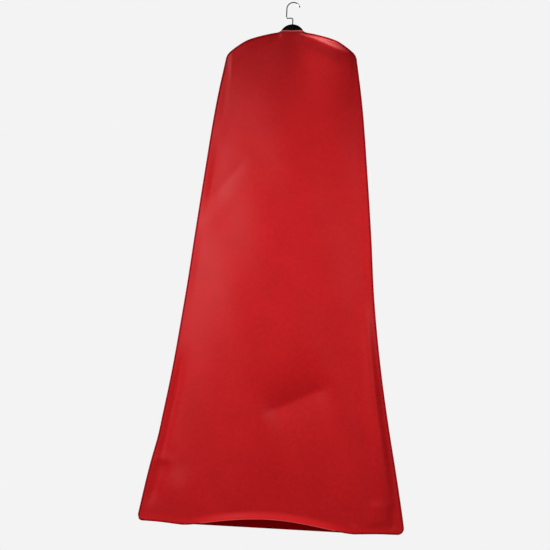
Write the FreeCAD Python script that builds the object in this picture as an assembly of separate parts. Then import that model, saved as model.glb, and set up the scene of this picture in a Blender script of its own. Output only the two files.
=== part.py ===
import FreeCAD, Part
import math
import os

# A long garment bag of non-woven cloth, hanging closed on its own moulded hanger.
# Millimetres. +Z is up, the plain back of the bag faces -Y, the zip side faces +Y.
# The origin is the hook's seat: the top of the space inside the hook, where a rail bears.
# Left is -X and right is +X, as seen from the plain side.

V = FreeCAD.Vector

# ---------------------------------------------------------------- hook
WIRE_D = 4.0                # chromed steel wire
HOOK_INNER_R = 22.0         # inside radius of the round top
HOOK_TIP_DEG = 13.0         # the tip stops this far above the middle of the round
BACK_LENGTH = 37.0          # from the middle of the round down to the crank
BACK_BEND_R = 4.0           # bend between the straight back and the crank
SHANK_BEND_R = 5.5          # bend between the crank and the shank
SHANK_SHOWING = 25.0        # from the crank down to the top of the hub
SHANK_CLEARANCE = 0.1       # running clearance round the shank, on the radius
HEAD_D = 8.6                # headed end that carries the hanger
HEAD_T = 2.2
HEAD_BEVEL = 0.5
TIP_BEVEL = 0.9             # the cut end of the wire is broken, not left sharp
WASHER_D = 11.0
WASHER_T = 1.0
WASHER_GAP = 0.15           # between the washer and the head

# ---------------------------------------------------------------- hanger
HANGER_T = 10.0             # front to back, over the rim
WEB_T = 3.0                 # the thin wall inside the rim
RIM_W = 3.0
HUMP_R = 46.0               # round top of the hub
BOSS_W = 13.0               # solid upright that holds the shank
BOSS_DEPTH = 26.0           # from the hub's top to the pocket
POCKET_H = 15.0
POCKET_W = 15.0
POCKET_WALL = 4.0
ARM_HALF_SPAN = 211.0
ARM_DEPTH_ROOT = 29.0
ARM_DEPTH_TIP = 15.0
ARM_TIP_R = 6.5
OUTLINE_STEPS = 9           # points along an arm that its edges are drawn through
WALL_BITE = 0.5             # how far the thin wall reaches into the rim
RIB_T = 2.0
RIB_PITCH = 27.0
RIB_FREE_END = 6.0          # no rib this close to the arm's tip
NOTCH_R = 7.0               # strap notches in the arms' tops
NOTCH_DEPTH = 2.6
NOTCH_X = 152.0

# ---------------------------------------------------------------- cover
NECK_BELOW_HUB = 26.4       # how far the hub stands out of the neck slot
COVER_LENGTH = 1800.0       # neck to hem
SHOULDER_REACH = 28.0       # the cover's shoulder corner is this far outside an arm's end
ARM_END_ROOM = 6.0          # past its end, the cloth stays as deep as over the arm this far
SHOULDER_FALL = 96.4        # neck to the shoulder's corner
SHOULDER_FADE = 420.0       # height in which the rows of cloth level out
HEM_HALF = 462.0
HEM_CORNER_R = 20.0
HEM_ARCH = 34.0             # the hems rise this much in the middle
HEM_ARCH_HALF = 270.0
HEM_LIFT_RUN = 260.0        # height over which the hem's arch fades out
CORNER_SIDE_RUN = 60.0      # height of the side edge that is taken as straight at the corner
CORNER_STEPS = 2            # straight pieces in each half of the corner's round
CLOTH_T = 1.5               # thin cloth, drawn thick enough to be a solid
NECK_DEPTH = 11.0           # half the neck slot, front to back, over the cloth
NECK_STRAIGHT_HALF = 38.0   # the slot keeps its full width this far
NECK_OPEN_HALF = 42.0       # the shoulder tapes start here and close it
NECK_SLOT_HALF = 52.0       # the two panels meet here
HEM_DEPTH = 55.0            # half the bag's depth in the middle of the hem
SIDE_DEPTH_TOP = 3.6        # half the gap between the panels' side edges, over the cloth
SIDE_DEPTH_HEM = 8.0
SIDE_OPEN_RUN = 120.0       # height in which the side edges part
SPREAD_RUN = 250.0          # height in which the cloth spreads to its full depth
EDGE_HOLD_RUN = 60.0        # height in which the side edges start to hold it together
ZIP_EASE = 40.0             # width in which the cloth beside the zip takes the panel's form
SEAM_HALF = 1.8             # half the thickness of the shoulder seam
SEAM_FIN = 5.0              # the shoulder seam stands this far above the arms' slope
ARM_CLEARANCE = 0.5         # cloth to arm
ARM_TOP_ROOM = 1.3          # the arm's top is this far below where the cloth has spread
SEAM_SLOPE = 6.0            # height in which the cloth spreads over the arm
GUSSET_HALF = 70.0          # half the width of the side gussets at the hem
GUSSET_START = 200.0        # the pleat starts at this row
GUSSET_CORNER_FOLD = 12.0   # pleat left at the hem's corner
GUSSET_CORNER_RUN = 190.0   # height in which the bottom cloth pulls the pleat shallow
SEAM_GAP = 0.15             # between cloth pieces that are sewn together
TAPE_T = 0.9                # binding tape
TAPE_LEG = 6.0              # how far the binding reaches over the cloth
SHOULDER_TAPE_LEG = 4.5     # shorter on the shoulder seam's fin
FACING_LEG = 9.0            # folded facing of the neck slot

# ---------------------------------------------------------------- zip
ZIP_GAP_HALF = 5.6          # from the middle to the cloth's edge
ZIP_TAPE_W = 14.5
ZIP_TAPE_T = 0.8
ZIP_TAPE_GAP = 0.4          # between the cloth and the tape under it
COIL_PARTING = 0.7          # half the line between the two coils
COIL_W = 2.5
COIL_H = 2.4
COIL_BEVEL = 0.7
STOP_L = 4.0
STOP_H = 2.6
STOP_BEVEL = 0.5
STOP_OUT = 3.8
ZIP_TAPE_TOP = 2.0          # the tapes start this far below the neck
ZIP_TAPE_LOW = 3.0          # and stop this far above the hem's arch
ZIP_TOP_FREE = 14.0         # tape above the top stops
ZIP_BOTTOM_FREE = 22.0      # tape below the bottom stop
STOP_ROOM = 1.0             # the slider stays this far from a stop
SLIDER_L = 11.5
SLIDER_HALF = 4.8
SLIDER_NARROW_HALF = 3.84   # at its upper end
SLIDER_MOUTH_HALF = 3.6     # at its lower end
SLIDER_WIDE_TOP = 1.15      # it is widest from here, above its middle,
SLIDER_WIDE_LOW = 4.0       # to here, below it
SLIDER_PLATE_T = 1.1
SLIDER_CLEARANCE = 0.3
SLIDER_LIP = 1.0
SLIDER_POST_L = 3.2
SLIDER_POST_Z = -5.15       # the post's lower end, from the slider's middle
SLIDER_POST_HALF = 0.35
BRIDGE_L = 9.0
BRIDGE_HALF = 1.3
BRIDGE_T = 1.2
BRIDGE_ROUND = 1.3
TAB_PIN_D = 1.6
TAB_W = 6.4
TAB_L = 25.0
TAB_T = 1.2
TAB_ARM_W = 1.2
TAB_PLATE_W = 7.5
TAB_ARMS_L = 7.1            # from the pin to the plate
TAB_ROUND = 1.6
TAB_HOLE_R = 1.3
TAB_HOLE_UP = 4.0           # from the tab's end to its hole

# The cloth is drawn in flat pieces, between these shares of its length and of its half width.
ROW_SHARES = (0.014, 0.033, 0.07, 0.12, 0.195, 0.3, 0.44, 0.58, 0.71, 0.82, 0.9, 0.95, 0.975)
COLUMN_SHARES = (0.08, 0.3, 0.41, 0.53, 0.65, 0.76, 0.86, 0.91)

# Shape of the side edge: share of the way down the side, share of the flare.
SIDE_FLARE = [(0, 0), (0.09, 0.107), (0.26, 0.25), (0.39, 0.344), (0.52, 0.425),
              (0.65, 0.546), (0.78, 0.697), (0.91, 0.885), (1, 1)]
# Shape of the shoulder: share of the half width, share of the fall.
SHOULDER_CURVE = [(0, 0), (0.15, 0.003), (0.21, 0.042), (0.33, 0.1), (0.46, 0.178), (0.58, 0.262),
                  (0.71, 0.39), (0.83, 0.585), (0.92, 0.765), (0.965, 0.875), (1, 1)]

# ---------------------------------------------------------------- worked out from them
WIRE_R = WIRE_D / 2
HOOK_R = HOOK_INNER_R + WIRE_R
ROUND_Z = -HOOK_INNER_R
CRANK_Z = ROUND_Z - BACK_LENGTH
HUB_TOP_Z = CRANK_Z - SHANK_SHOWING
NECK_Z = HUB_TOP_Z - NECK_BELOW_HUB
HEM_Z = NECK_Z - COVER_LENGTH
POCKET_TOP_Z = HUB_TOP_Z - BOSS_DEPTH
SIDE_LENGTH = COVER_LENGTH - SHOULDER_FALL
SHOULDER_HALF = ARM_HALF_SPAN + SHOULDER_REACH
ARM_DEPTH = HANGER_T / 2 + ARM_CLEARANCE + CLOTH_T      # cloth's outer face over an arm
ARM_DROP = SEAM_FIN + SEAM_SLOPE + ARM_TOP_ROOM        # arm's top below the shoulder line
ZIP_TILT = math.atan2(HEM_DEPTH - NECK_DEPTH, COVER_LENGTH)


def smooth_step(t):
    t = min(max(t, 0.0), 1.0)
    return t * t * (3 - 2 * t)


def curve_through(points):
    """A smooth function of one variable through a few points."""
    slopes = []
    for i in range(len(points)):
        a = points[max(i - 1, 0)]
        b = points[min(i + 1, len(points) - 1)]
        slopes.append((b[1] - a[1]) / (b[0] - a[0]))

    def value(t):
        t = min(max(t, points[0][0]), points[-1][0])
        i = 0
        while i < len(points) - 2 and t > points[i + 1][0]:
            i += 1
        (t0, v0), (t1, v1) = points[i], points[i + 1]
        h = t1 - t0
        s = (t - t0) / h
        start = v0 * (1 + 2 * s) * (1 - s) ** 2 + h * slopes[i] * s * (1 - s) ** 2
        end = v1 * s * s * (3 - 2 * s) + h * slopes[i + 1] * s * s * (s - 1)
        return start + end

    return value


flare_share = curve_through(SIDE_FLARE)
fall_share = curve_through(SHOULDER_CURVE)


# ---------------------------------------------------------------- the cover's form
# Heights are measured down from the neck line.

def half_width(down):
    """Half the cover's width at a height on its side."""
    share = flare_share((down - SHOULDER_FALL) / SIDE_LENGTH)
    return SHOULDER_HALF + (HEM_HALF - SHOULDER_HALF) * share


def shoulder_down(x):
    """Height of the shoulder line."""
    return SHOULDER_FALL * fall_share(abs(x) / SHOULDER_HALF)


def hem_rise(x):
    """How far the hem is pulled up."""
    if abs(x) >= HEM_ARCH_HALF:
        return 0.0
    return HEM_ARCH * math.cos(math.pi * x / (2 * HEM_ARCH_HALF)) ** 2


def side_depth(down):
    """Half the gap between the panels at their side edges, over the cloth."""
    below = down - SHOULDER_FALL
    spread = SIDE_DEPTH_TOP + (SIDE_DEPTH_HEM - SIDE_DEPTH_TOP) * below / SIDE_LENGTH
    return SEAM_HALF + (spread - SEAM_HALF) * smooth_step(below / SIDE_OPEN_RUN)


def cloth_depth(x, down, clear=0.0):
    """Distance from the bag's middle plane to the outer face of a panel."""
    x = abs(x)
    flat = clear + ZIP_TAPE_W if clear else 0.0
    below = down - shoulder_down(min(x, SHOULDER_HALF))
    reach = half_width(down)
    across = min(max((x - flat) / (reach - flat), 0.0), 1.0)
    slot = smooth_step((NECK_SLOT_HALF - x) / (NECK_SLOT_HALF - NECK_STRAIGHT_HALF))
    top = SEAM_HALF + (NECK_DEPTH - SEAM_HALF) * slot
    past_arm = x - ARM_HALF_SPAN - ARM_END_ROOM
    fade = 1 - smooth_step(past_arm / (SHOULDER_REACH - ARM_END_ROOM))
    over_arm = SEAM_HALF + (ARM_DEPTH - SEAM_HALF) * fade
    near = top + max(0.0, over_arm - top) * smooth_step((below - SEAM_FIN) / SEAM_SLOPE)
    middle = NECK_DEPTH + (HEM_DEPTH - NECK_DEPTH) * down / COVER_LENGTH
    edge = side_depth(down)
    far = edge + (middle - edge) * (1 - across ** 2)
    share = smooth_step(below / SPREAD_RUN)
    held = 1 - across ** 4 * smooth_step(below / EDGE_HOLD_RUN)
    held *= smooth_step((x - flat) / ZIP_EASE)
    share = 1 - (1 - share) * held
    return near + max(0.0, far - near) * share


def corner_points():
    """The hem's right corner: the point, and where its round meets the side and the hem."""
    low = V(HEM_HALF, 0, HEM_Z)
    high = V(half_width(COVER_LENGTH - CORNER_SIDE_RUN), 0, HEM_Z + CORNER_SIDE_RUN)
    along = (high - low).normalize()
    half_angle = math.acos(-along.x) / 2
    run = HEM_CORNER_R / math.tan(half_angle)
    on_side = low + along * run
    on_hem = low - V(run, 0, 0)
    centre = on_hem + V(0, 0, HEM_CORNER_R)
    return low, on_side, on_hem, centre


def round_corner(x, down):
    """Draws a point of the panel in, so that the sharp corner of its outline becomes round."""
    low, on_side, on_hem, centre = corner_points()
    dx = abs(x) - centre.x
    dz = NECK_Z - down - centre.z
    to_side = math.atan2(on_side.z - centre.z, on_side.x - centre.x)
    angle = math.atan2(dz, dx)
    if not -math.pi / 2 < angle < to_side:
        return x, down
    shrink = max(math.cos(angle - to_side), math.cos(angle + math.pi / 2))
    return math.copysign(centre.x + dx * shrink, x), NECK_Z - centre.z - dz * shrink


def panel_rows():
    """Heights of the rows at which the panels are drawn, at the middle."""
    seam = [0, SEAM_FIN, SEAM_FIN + SEAM_SLOPE / 2, SEAM_FIN + SEAM_SLOPE]
    round_height = corner_points()[1].z - HEM_Z
    low = [COVER_LENGTH - round_height * i / CORNER_STEPS for i in range(CORNER_STEPS, -1, -1)]
    return seam + [COVER_LENGTH * share for share in ROW_SHARES] + low


def panel_columns():
    """Shares of the half width at which the panels are drawn."""
    slot = [x / SHOULDER_HALF for x in (NECK_STRAIGHT_HALF, NECK_OPEN_HALF,
                                        (NECK_OPEN_HALF + NECK_SLOT_HALF) / 2, NECK_SLOT_HALF)]
    round_share = corner_points()[2].x / HEM_HALF
    outer = [round_share + (1 - round_share) * i / CORNER_STEPS for i in range(CORNER_STEPS + 1)]
    return sorted([0] + slot + list(COLUMN_SHARES) + outer)


def panel_point(share, row, side, clear):
    """A point of a panel's outer face, right of the middle; share runs out to the side edge."""
    fade = 1 - smooth_step(row / SHOULDER_FADE)
    reach = half_width(row + SHOULDER_FALL * fade)
    x = max(reach * share, clear)
    lift = hem_rise(x) * smooth_step((row - COVER_LENGTH + HEM_LIFT_RUN) / HEM_LIFT_RUN)
    down = row + fade * SHOULDER_FALL * fall_share(x / reach) - lift
    x, down = round_corner(x, down)
    return V(x, side * cloth_depth(x, down, clear), NECK_Z - down)


def flat_piece(a, b, c, d):
    """The surface between the lines a-b and c-d."""
    return Part.makeRuledSurface(Part.makeLine(a, b), Part.makeLine(c, d))


def thin_wall(grid, through):
    """A thin solid: the surface through a grid of points, and the same moved by a vector."""
    faces = []
    for upper, lower in zip(grid, grid[1:]):
        for a, b, c, d in zip(upper, upper[1:], lower, lower[1:]):
            face = flat_piece(a, b, c, d)
            faces.append(face)
            behind = face.copy()
            behind.translate(through)
            faces.append(behind)
    columns = list(zip(*grid))
    for line in (grid[0], grid[-1], columns[0], columns[-1]):
        faces += [Part.makeLine(a, b).extrude(through) for a, b in zip(line, line[1:])]
    shell = Part.makeShell(faces)
    shell.sewShape()
    return Part.makeSolid(shell)


def half_grid(side, clear):
    return [[panel_point(share, row, side, clear) for share in panel_columns()]
            for row in panel_rows()]


def back_panel():
    rows = [[V(-p.x, p.y, p.z) for p in reversed(row[1:])] + row for row in half_grid(-1, 0)]
    return thin_wall(rows, V(0, CLOTH_T, 0))


def front_panel(hand):
    rows = half_grid(1, ZIP_GAP_HALF)
    if hand < 0:
        rows = [[V(-p.x, p.y, p.z) for p in row] for row in rows]
    return thin_wall(rows, V(0, -CLOTH_T, 0))


# ---------------------------------------------------------------- seams that follow the edge

# A station is a point of the outline and the direction outwards there. The stations are the ends
# of the panels' rows and columns, so that tapes and gussets lie along the same straight lines.

def side_stations(first_row):
    """Down the right side edge, from a row to where the hem's corner starts."""
    stations = []
    for row in panel_rows()[:-CORNER_STEPS]:
        if row >= first_row:
            down = row + SHOULDER_FALL * (1 - smooth_step(row / SHOULDER_FADE))
            rise = (half_width(down + 1) - half_width(down - 1)) / 2
            stations.append((V(half_width(down), 0, NECK_Z - down), V(1, 0, rise).normalize()))
    return stations


def corner_stations():
    """Round the hem's right corner, between its two ends."""
    centre = corner_points()[3]
    places = [(1, row) for row in panel_rows()[-CORNER_STEPS:]]
    places += [(share, COVER_LENGTH) for share in reversed(panel_columns()[-CORNER_STEPS:-1])]
    stations = []
    for share, row in places:
        point = panel_point(share, row, -1, 0)
        point.y = 0
        stations.append((point, (point - centre).normalize()))
    return stations


def hem_stations():
    """Along the whole hem, from right to left, ends included."""
    shares = panel_columns()[:-CORNER_STEPS]
    xs = [HEM_HALF * share for share in reversed(shares)] + [-HEM_HALF * share for share in shares[1:]]
    return [(V(x, 0, HEM_Z + hem_rise(x)), V(0, 0, -1)) for x in xs]


def mirrored(stations):
    """The same stations on the left, in the order that goes on from the right."""
    return [(V(-p.x, 0, p.z), V(-o.x, 0, o.z)) for p, o in reversed(stations)]


def depth_at(point, side):
    """Distance from the middle plane to a panel's outer face, behind a point of the outline."""
    return cloth_depth(point.x, NECK_Z - point.z, ZIP_GAP_HALF if side > 0 else 0.0)


def loft(sections):
    """A solid through closed polygons that have the same number of corners."""
    wires = [Part.makePolygon(list(s) + [s[0]]) for s in sections]
    return Part.makeLoft(wires, True, True)


def section(point, out, corners):
    """Corners given as (outwards, y) from a point on the edge."""
    return [V(point.x + out.x * o, y, point.z + out.z * o) for o, y in corners]


def edge_tape(stations, side, leg, gap):
    """A folded tape over a panel's edge: one leg on the outer face, one fold round the edge."""
    sections = []
    for point, out in stations:
        cover = CLOTH_T if out.x == 0 else 2 * CLOTH_T
        here = depth_at(point, side) + gap
        inward = depth_at(point - out * leg, side) + gap
        inner = max(here - gap - cover, gap)
        thick = gap + TAPE_T
        corners = [(-leg, inward + TAPE_T), (thick, here + TAPE_T), (thick, inner),
                   (gap, inner), (gap, here), (-leg, inward)]
        sections.append(section(point, out, [(o, side * y) for o, y in corners]))
    return loft(sections)


def panel_binding(side):
    half = side_stations(SEAM_FIN) + corner_stations()
    return edge_tape(half + hem_stations() + mirrored(half), side, TAPE_LEG, SEAM_GAP)


def top_station(x):
    """A point on the shoulder line with its outward direction."""
    slope = shoulder_down(x + 1) - shoulder_down(x)
    out = V(slope, 0, 1).normalize()
    return V(x, 0, NECK_Z - shoulder_down(x)), out


def shoulder_places(first, last):
    """Where the panels' columns reach the shoulder line, between two distances from the middle."""
    places = [share * SHOULDER_HALF for share in panel_columns()]
    return [x for x in places if first - SEAM_GAP <= x <= last + SEAM_GAP]


def neck_facing(side):
    """The folded edge of the neck slot, on one panel."""
    half = shoulder_places(0, NECK_OPEN_HALF)
    xs = [-x for x in reversed(half[1:])] + half
    return edge_tape([(top_station(x)[0], V(0, 0, 1)) for x in xs], side, FACING_LEG, 2 * SEAM_GAP)


def shoulder_binding(hand):
    """The tape that holds both panels together, from the neck's opening out over an arm."""
    columns = panel_columns()
    sections = []
    for x in shoulder_places(NECK_OPEN_HALF, SHOULDER_HALF * columns[-2]):
        point, out = top_station(x)
        if x <= NECK_SLOT_HALF:
            out = V(0, 0, 1)
        if x < NECK_OPEN_HALF + SEAM_GAP:
            point.x += 2 * SEAM_GAP
        back, front = (depth_at(point, side) + 2 * SEAM_GAP for side in (-1, 1))
        leg = SHOULDER_TAPE_LEG * out.z
        over = SEAM_GAP + TAPE_T
        corners = [(-leg, -back - TAPE_T), (over, -back - TAPE_T), (over, front + TAPE_T),
                   (-leg, front + TAPE_T), (-leg, front), (SEAM_GAP, front), (SEAM_GAP, -back),
                   (-leg, -back)]
        sections.append(section(point, out, corners))
    tape = loft(sections)
    return tape if hand > 0 else tape.mirror(V(0, 0, 0), V(1, 0, 0))


def side_gusset(hand):
    """A pleat folded inwards, nothing at the shoulder and deepest near the hem."""
    sections = []
    for point, out in side_stations(GUSSET_START):
        down = NECK_Z - point.z
        outer = side_depth(down) - CLOTH_T - SEAM_GAP
        inner = outer - CLOTH_T
        half = GUSSET_HALF * (down - SHOULDER_FALL) / SIDE_LENGTH
        above = point.z - corner_points()[1].z
        fold = math.sqrt(max(half * half - outer * outer, 1.0))
        if fold > GUSSET_CORNER_FOLD:
            shallow = 1 - smooth_step(above / GUSSET_CORNER_RUN)
            fold += (GUSSET_CORNER_FOLD - fold) * shallow
        crease = fold * CLOTH_T / outer
        corners = [(0, -outer), (-fold, 0), (0, outer), (0, inner), (crease - fold, 0), (0, -inner)]
        sections.append(section(point, V(1, 0, 0), corners))
    pleat = loft(sections)
    return pleat if hand > 0 else pleat.mirror(V(0, 0, 0), V(1, 0, 0))


def bottom_gusset():
    """The cloth between the two hems: a belly in the middle and a shallow pleat at the corners."""
    half = side_stations(0)[-1:] + corner_stations()
    sections = []
    for point, out in half + hem_stations() + mirrored(half):
        edge = depth_at(point, -1) - CLOTH_T - 2 * SEAM_GAP
        near_corner = smooth_step((abs(point.x) - HEM_ARCH_HALF) / (HEM_HALF - HEM_ARCH_HALF))
        belly = hem_rise(point.x) - GUSSET_CORNER_FOLD * near_corner
        corners = [(0, -edge), (belly, 0), (0, edge), (-CLOTH_T, edge), (belly - CLOTH_T, 0),
                   (-CLOTH_T, -edge)]
        sections.append(section(point, out, corners))
    return loft(sections)


# ---------------------------------------------------------------- hook and washer

def wire_path(points, bends):
    """Straight runs joined by tangent bends, from a list of corners."""
    edges = []
    start = points[0]
    for corner, after, bend in zip(points[1:], points[2:], bends):
        to_start = (start - corner).normalize()
        to_after = (after - corner).normalize()
        half = to_start.getAngle(to_after) / 2
        run = bend / math.tan(half)
        a = corner + to_start * run
        b = corner + to_after * run
        middle_line = (to_start + to_after).normalize()
        centre = corner + middle_line * (bend / math.sin(half))
        edges.append(Part.LineSegment(start, a).toShape())
        edges.append(Part.Arc(a, centre - middle_line * bend, b).toShape())
        start = b
    edges.append(Part.LineSegment(start, points[-1]).toShape())
    return edges


def hook():
    tip_angle = math.radians(HOOK_TIP_DEG)
    centre = V(0, 0, ROUND_Z)
    tip = centre + V(math.cos(tip_angle), 0, math.sin(tip_angle)) * HOOK_R
    half_way = centre + V(0, 0, HOOK_R)
    left = centre + V(-HOOK_R, 0, 0)
    head_top = POCKET_TOP_Z - WASHER_T - WASHER_GAP
    corners = [left, V(-HOOK_R, 0, CRANK_Z), V(0, 0, CRANK_Z), V(0, 0, head_top - HEAD_T / 2)]
    edges = [Part.Arc(tip, half_way, left).toShape()]
    edges += wire_path(corners, [BACK_BEND_R, SHANK_BEND_R])
    along = V(math.sin(tip_angle), 0, -math.cos(tip_angle))
    ring = Part.Wire(Part.makeCircle(WIRE_R, tip, along))
    wire = Part.Wire(edges).makePipeShell([ring], True, False)
    end = Part.makeCone(WIRE_R, WIRE_R - TIP_BEVEL, TIP_BEVEL, tip, along)
    head = Part.makeCylinder(HEAD_D / 2, HEAD_T, V(0, 0, head_top - HEAD_T))
    head = head.makeChamfer(HEAD_BEVEL, [e for e in head.Edges if e.Curve.TypeId == "Part::GeomCircle"])
    return wire.fuse([end, head])


def washer():
    z = POCKET_TOP_Z - WASHER_T
    disc = Part.makeCylinder(WASHER_D / 2, WASHER_T, V(0, 0, z))
    return disc.cut(Part.makeCylinder(WIRE_R + SHANK_CLEARANCE, WASHER_T, V(0, 0, z)))


# ---------------------------------------------------------------- hanger

def arm_top(x):
    return NECK_Z - shoulder_down(x) - ARM_DROP


def arm_bottom(x):
    share = smooth_step(abs(x) / ARM_HALF_SPAN)
    depth = ARM_DEPTH_ROOT + (ARM_DEPTH_TIP - ARM_DEPTH_ROOT) * share
    return arm_top(x) - depth


def hump_end(inset):
    """Where the round of the hub runs out into the arm's top."""
    r = HUMP_R - inset
    x = r / 2
    step = 0.05
    while x < r - step and HUB_TOP_Z - HUMP_R + math.sqrt(r * r - x * x) > arm_top(x) - inset:
        x += step
    return x


def hanger_outline(inset):
    """The hanger's outline, or the same drawn inside it, as a closed wire at y = 0."""
    centre = V(0, 0, HUB_TOP_Z - HUMP_R)
    r = HUMP_R - inset
    x0 = hump_end(inset)
    a = V(x0, 0, centre.z + math.sqrt(r * r - x0 * x0))
    tip_x = ARM_HALF_SPAN - ARM_TIP_R
    top = [a]
    for i in range(1, OUTLINE_STEPS + 1):
        x = x0 + (tip_x - x0) * i / OUTLINE_STEPS
        top.append(V(x, 0, arm_top(x) - inset))
    low = []
    for i in range(OUTLINE_STEPS + 1):
        x = tip_x * (1 - i / OUTLINE_STEPS)
        low.append(V(x, 0, arm_bottom(x) + inset))
    low_left = [V(-p.x, 0, p.z) for p in reversed(low[:-1])]
    top_left = [V(-p.x, 0, p.z) for p in reversed(top)]
    edges = [Part.Arc(V(-x0, 0, a.z), centre + V(0, 0, r), a).toShape(), spline(top)]
    edges.append(arm_tip(top[-1], low[0], inset))
    edges.append(spline(low + low_left))
    edges.append(arm_tip(low_left[-1], top_left[0], inset))
    edges.append(spline(top_left))
    return Part.Wire(Part.__sortEdges__(edges))


def spline(points):
    curve = Part.BSplineCurve()
    curve.interpolate(points)
    return curve.toShape()


def arm_tip(start, end, inset):
    middle = (start + end) * 0.5
    out = ARM_TIP_R - inset
    return Part.Arc(start, middle + V(math.copysign(out, middle.x), 0, 0), end).toShape()


def slab(face, thickness):
    solid = face.extrude(V(0, thickness, 0))
    solid.translate(V(0, -thickness / 2, 0))
    return solid


def upright(x, width, low, high):
    box = Part.makeBox(width, HANGER_T, high - low)
    box.translate(V(x - width / 2, -HANGER_T / 2, low))
    return box


def hanger_body():
    full = slab(Part.Face(hanger_outline(0)), HANGER_T)
    inside = slab(Part.Face(hanger_outline(RIM_W)), HANGER_T)
    web = slab(Part.Face(hanger_outline(RIM_W - WALL_BITE)), WEB_T)
    lowest = arm_bottom(ARM_HALF_SPAN) - RIB_PITCH
    ribs = []
    count = int((ARM_HALF_SPAN - RIB_FREE_END) / RIB_PITCH)
    for i in range(1, count + 1):
        for hand in (-1, 1):
            ribs.append(upright(hand * i * RIB_PITCH, RIB_T, lowest, HUB_TOP_Z))
    ribs.append(upright(0, BOSS_W, lowest, HUB_TOP_Z))
    ribs.append(upright(0, POCKET_W + 2 * POCKET_WALL, POCKET_TOP_Z - POCKET_H - RIB_T,
                        POCKET_TOP_Z + RIB_T))
    stiff = full.common(ribs[0].fuse(ribs[1:]))
    body = full.cut(inside).fuse([web, stiff])
    hole = Part.makeCylinder(WIRE_R + SHANK_CLEARANCE, BOSS_DEPTH, V(0, 0, POCKET_TOP_Z))
    pocket = upright(0, POCKET_W, POCKET_TOP_Z - POCKET_H, POCKET_TOP_Z)
    cuts = [hole, pocket]
    for hand in (-1, 1):
        z = arm_top(NOTCH_X) - NOTCH_DEPTH + NOTCH_R
        notch = Part.makeCylinder(NOTCH_R, HANGER_T, V(hand * NOTCH_X, -HANGER_T / 2, z), V(0, 1, 0))
        cuts.append(notch)
    return body.cut(cuts).removeSplitter()


# ---------------------------------------------------------------- zip
# The zip is drawn upright: x across, y outwards from the tape's outer face, z up from the neck.

def on_zip(shape):
    """Leans a piece of the zip to the slope of the cloth and puts it at the neck."""
    shape.rotate(V(0, 0, 0), V(1, 0, 0), math.degrees(ZIP_TILT))
    shape.translate(V(0, NECK_DEPTH - CLOTH_T - ZIP_TAPE_GAP, NECK_Z))
    return shape


def block(x0, x1, y0, y1, z0, z1):
    box = Part.makeBox(x1 - x0, y1 - y0, z1 - z0)
    box.translate(V(x0, y0, z0))
    return box


ZIP_LOW = -(COVER_LENGTH - HEM_ARCH - ZIP_TAPE_LOW) / math.cos(ZIP_TILT)
TOP_STOP_Z = -ZIP_TOP_FREE
BOTTOM_STOP_Z = ZIP_LOW + ZIP_BOTTOM_FREE
SLIDER_REST = BOTTOM_STOP_Z + STOP_L / 2 + STOP_ROOM + SLIDER_L / 2
SLIDER_HIGH = TOP_STOP_Z - STOP_L - STOP_ROOM - SLIDER_L / 2
SLIDER_TOP_Y = COIL_H + SLIDER_CLEARANCE + SLIDER_PLATE_T
PIN_Y = SLIDER_TOP_Y + SLIDER_CLEARANCE + TAB_PIN_D / 2
PIN_Z = SLIDER_REST - BRIDGE_L / 2 + BRIDGE_T + SLIDER_CLEARANCE + TAB_PIN_D / 2


def zip_tape(hand):
    x0, x1 = sorted((hand * COIL_PARTING, hand * (COIL_PARTING + ZIP_TAPE_W)))
    return on_zip(block(x0, x1, -ZIP_TAPE_T, 0, ZIP_LOW, -ZIP_TAPE_TOP))


def zip_coil(hand):
    """One coil as a smooth bar with rounded shoulders."""
    x0, x1 = sorted((hand * COIL_PARTING, hand * (COIL_PARTING + COIL_W)))
    bar = block(x0, x1, 0, COIL_H, BOTTOM_STOP_Z + STOP_L / 2, TOP_STOP_Z - STOP_L)
    long_edges = [e for e in bar.Edges if e.Length > SLIDER_L and e.BoundBox.YMin > COIL_H / 2]
    return on_zip(bar.makeChamfer(COIL_BEVEL, long_edges))


def zip_top_stop(hand):
    x0, x1 = sorted((hand * COIL_PARTING, hand * STOP_OUT))
    stop = block(x0, x1, 0, STOP_H, TOP_STOP_Z - STOP_L, TOP_STOP_Z)
    return on_zip(stop.makeChamfer(STOP_BEVEL, [e for e in stop.Edges if e.BoundBox.YMin > STOP_H / 2]))


def zip_bottom_stop():
    stop = block(-STOP_OUT, STOP_OUT, 0, STOP_H, BOTTOM_STOP_Z - STOP_L / 2, BOTTOM_STOP_Z + STOP_L / 2)
    return on_zip(stop.makeChamfer(STOP_BEVEL, [e for e in stop.Edges if e.BoundBox.YMin > STOP_H / 2]))


def slider_plate(y0, thickness):
    """A shield-shaped plate, wider at its lower mouths than at its upper end."""
    half = SLIDER_L / 2
    right = [(SLIDER_NARROW_HALF, half), (SLIDER_HALF, SLIDER_WIDE_TOP), (SLIDER_HALF, -SLIDER_WIDE_LOW),
             (SLIDER_MOUTH_HALF, -half)]
    points = [V(x, y0, z) for x, z in right] + [V(-x, y0, z) for x, z in reversed(right)]
    face = Part.Face(Part.makePolygon(points + [points[0]]))
    return face.extrude(V(0, thickness, 0))


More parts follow.
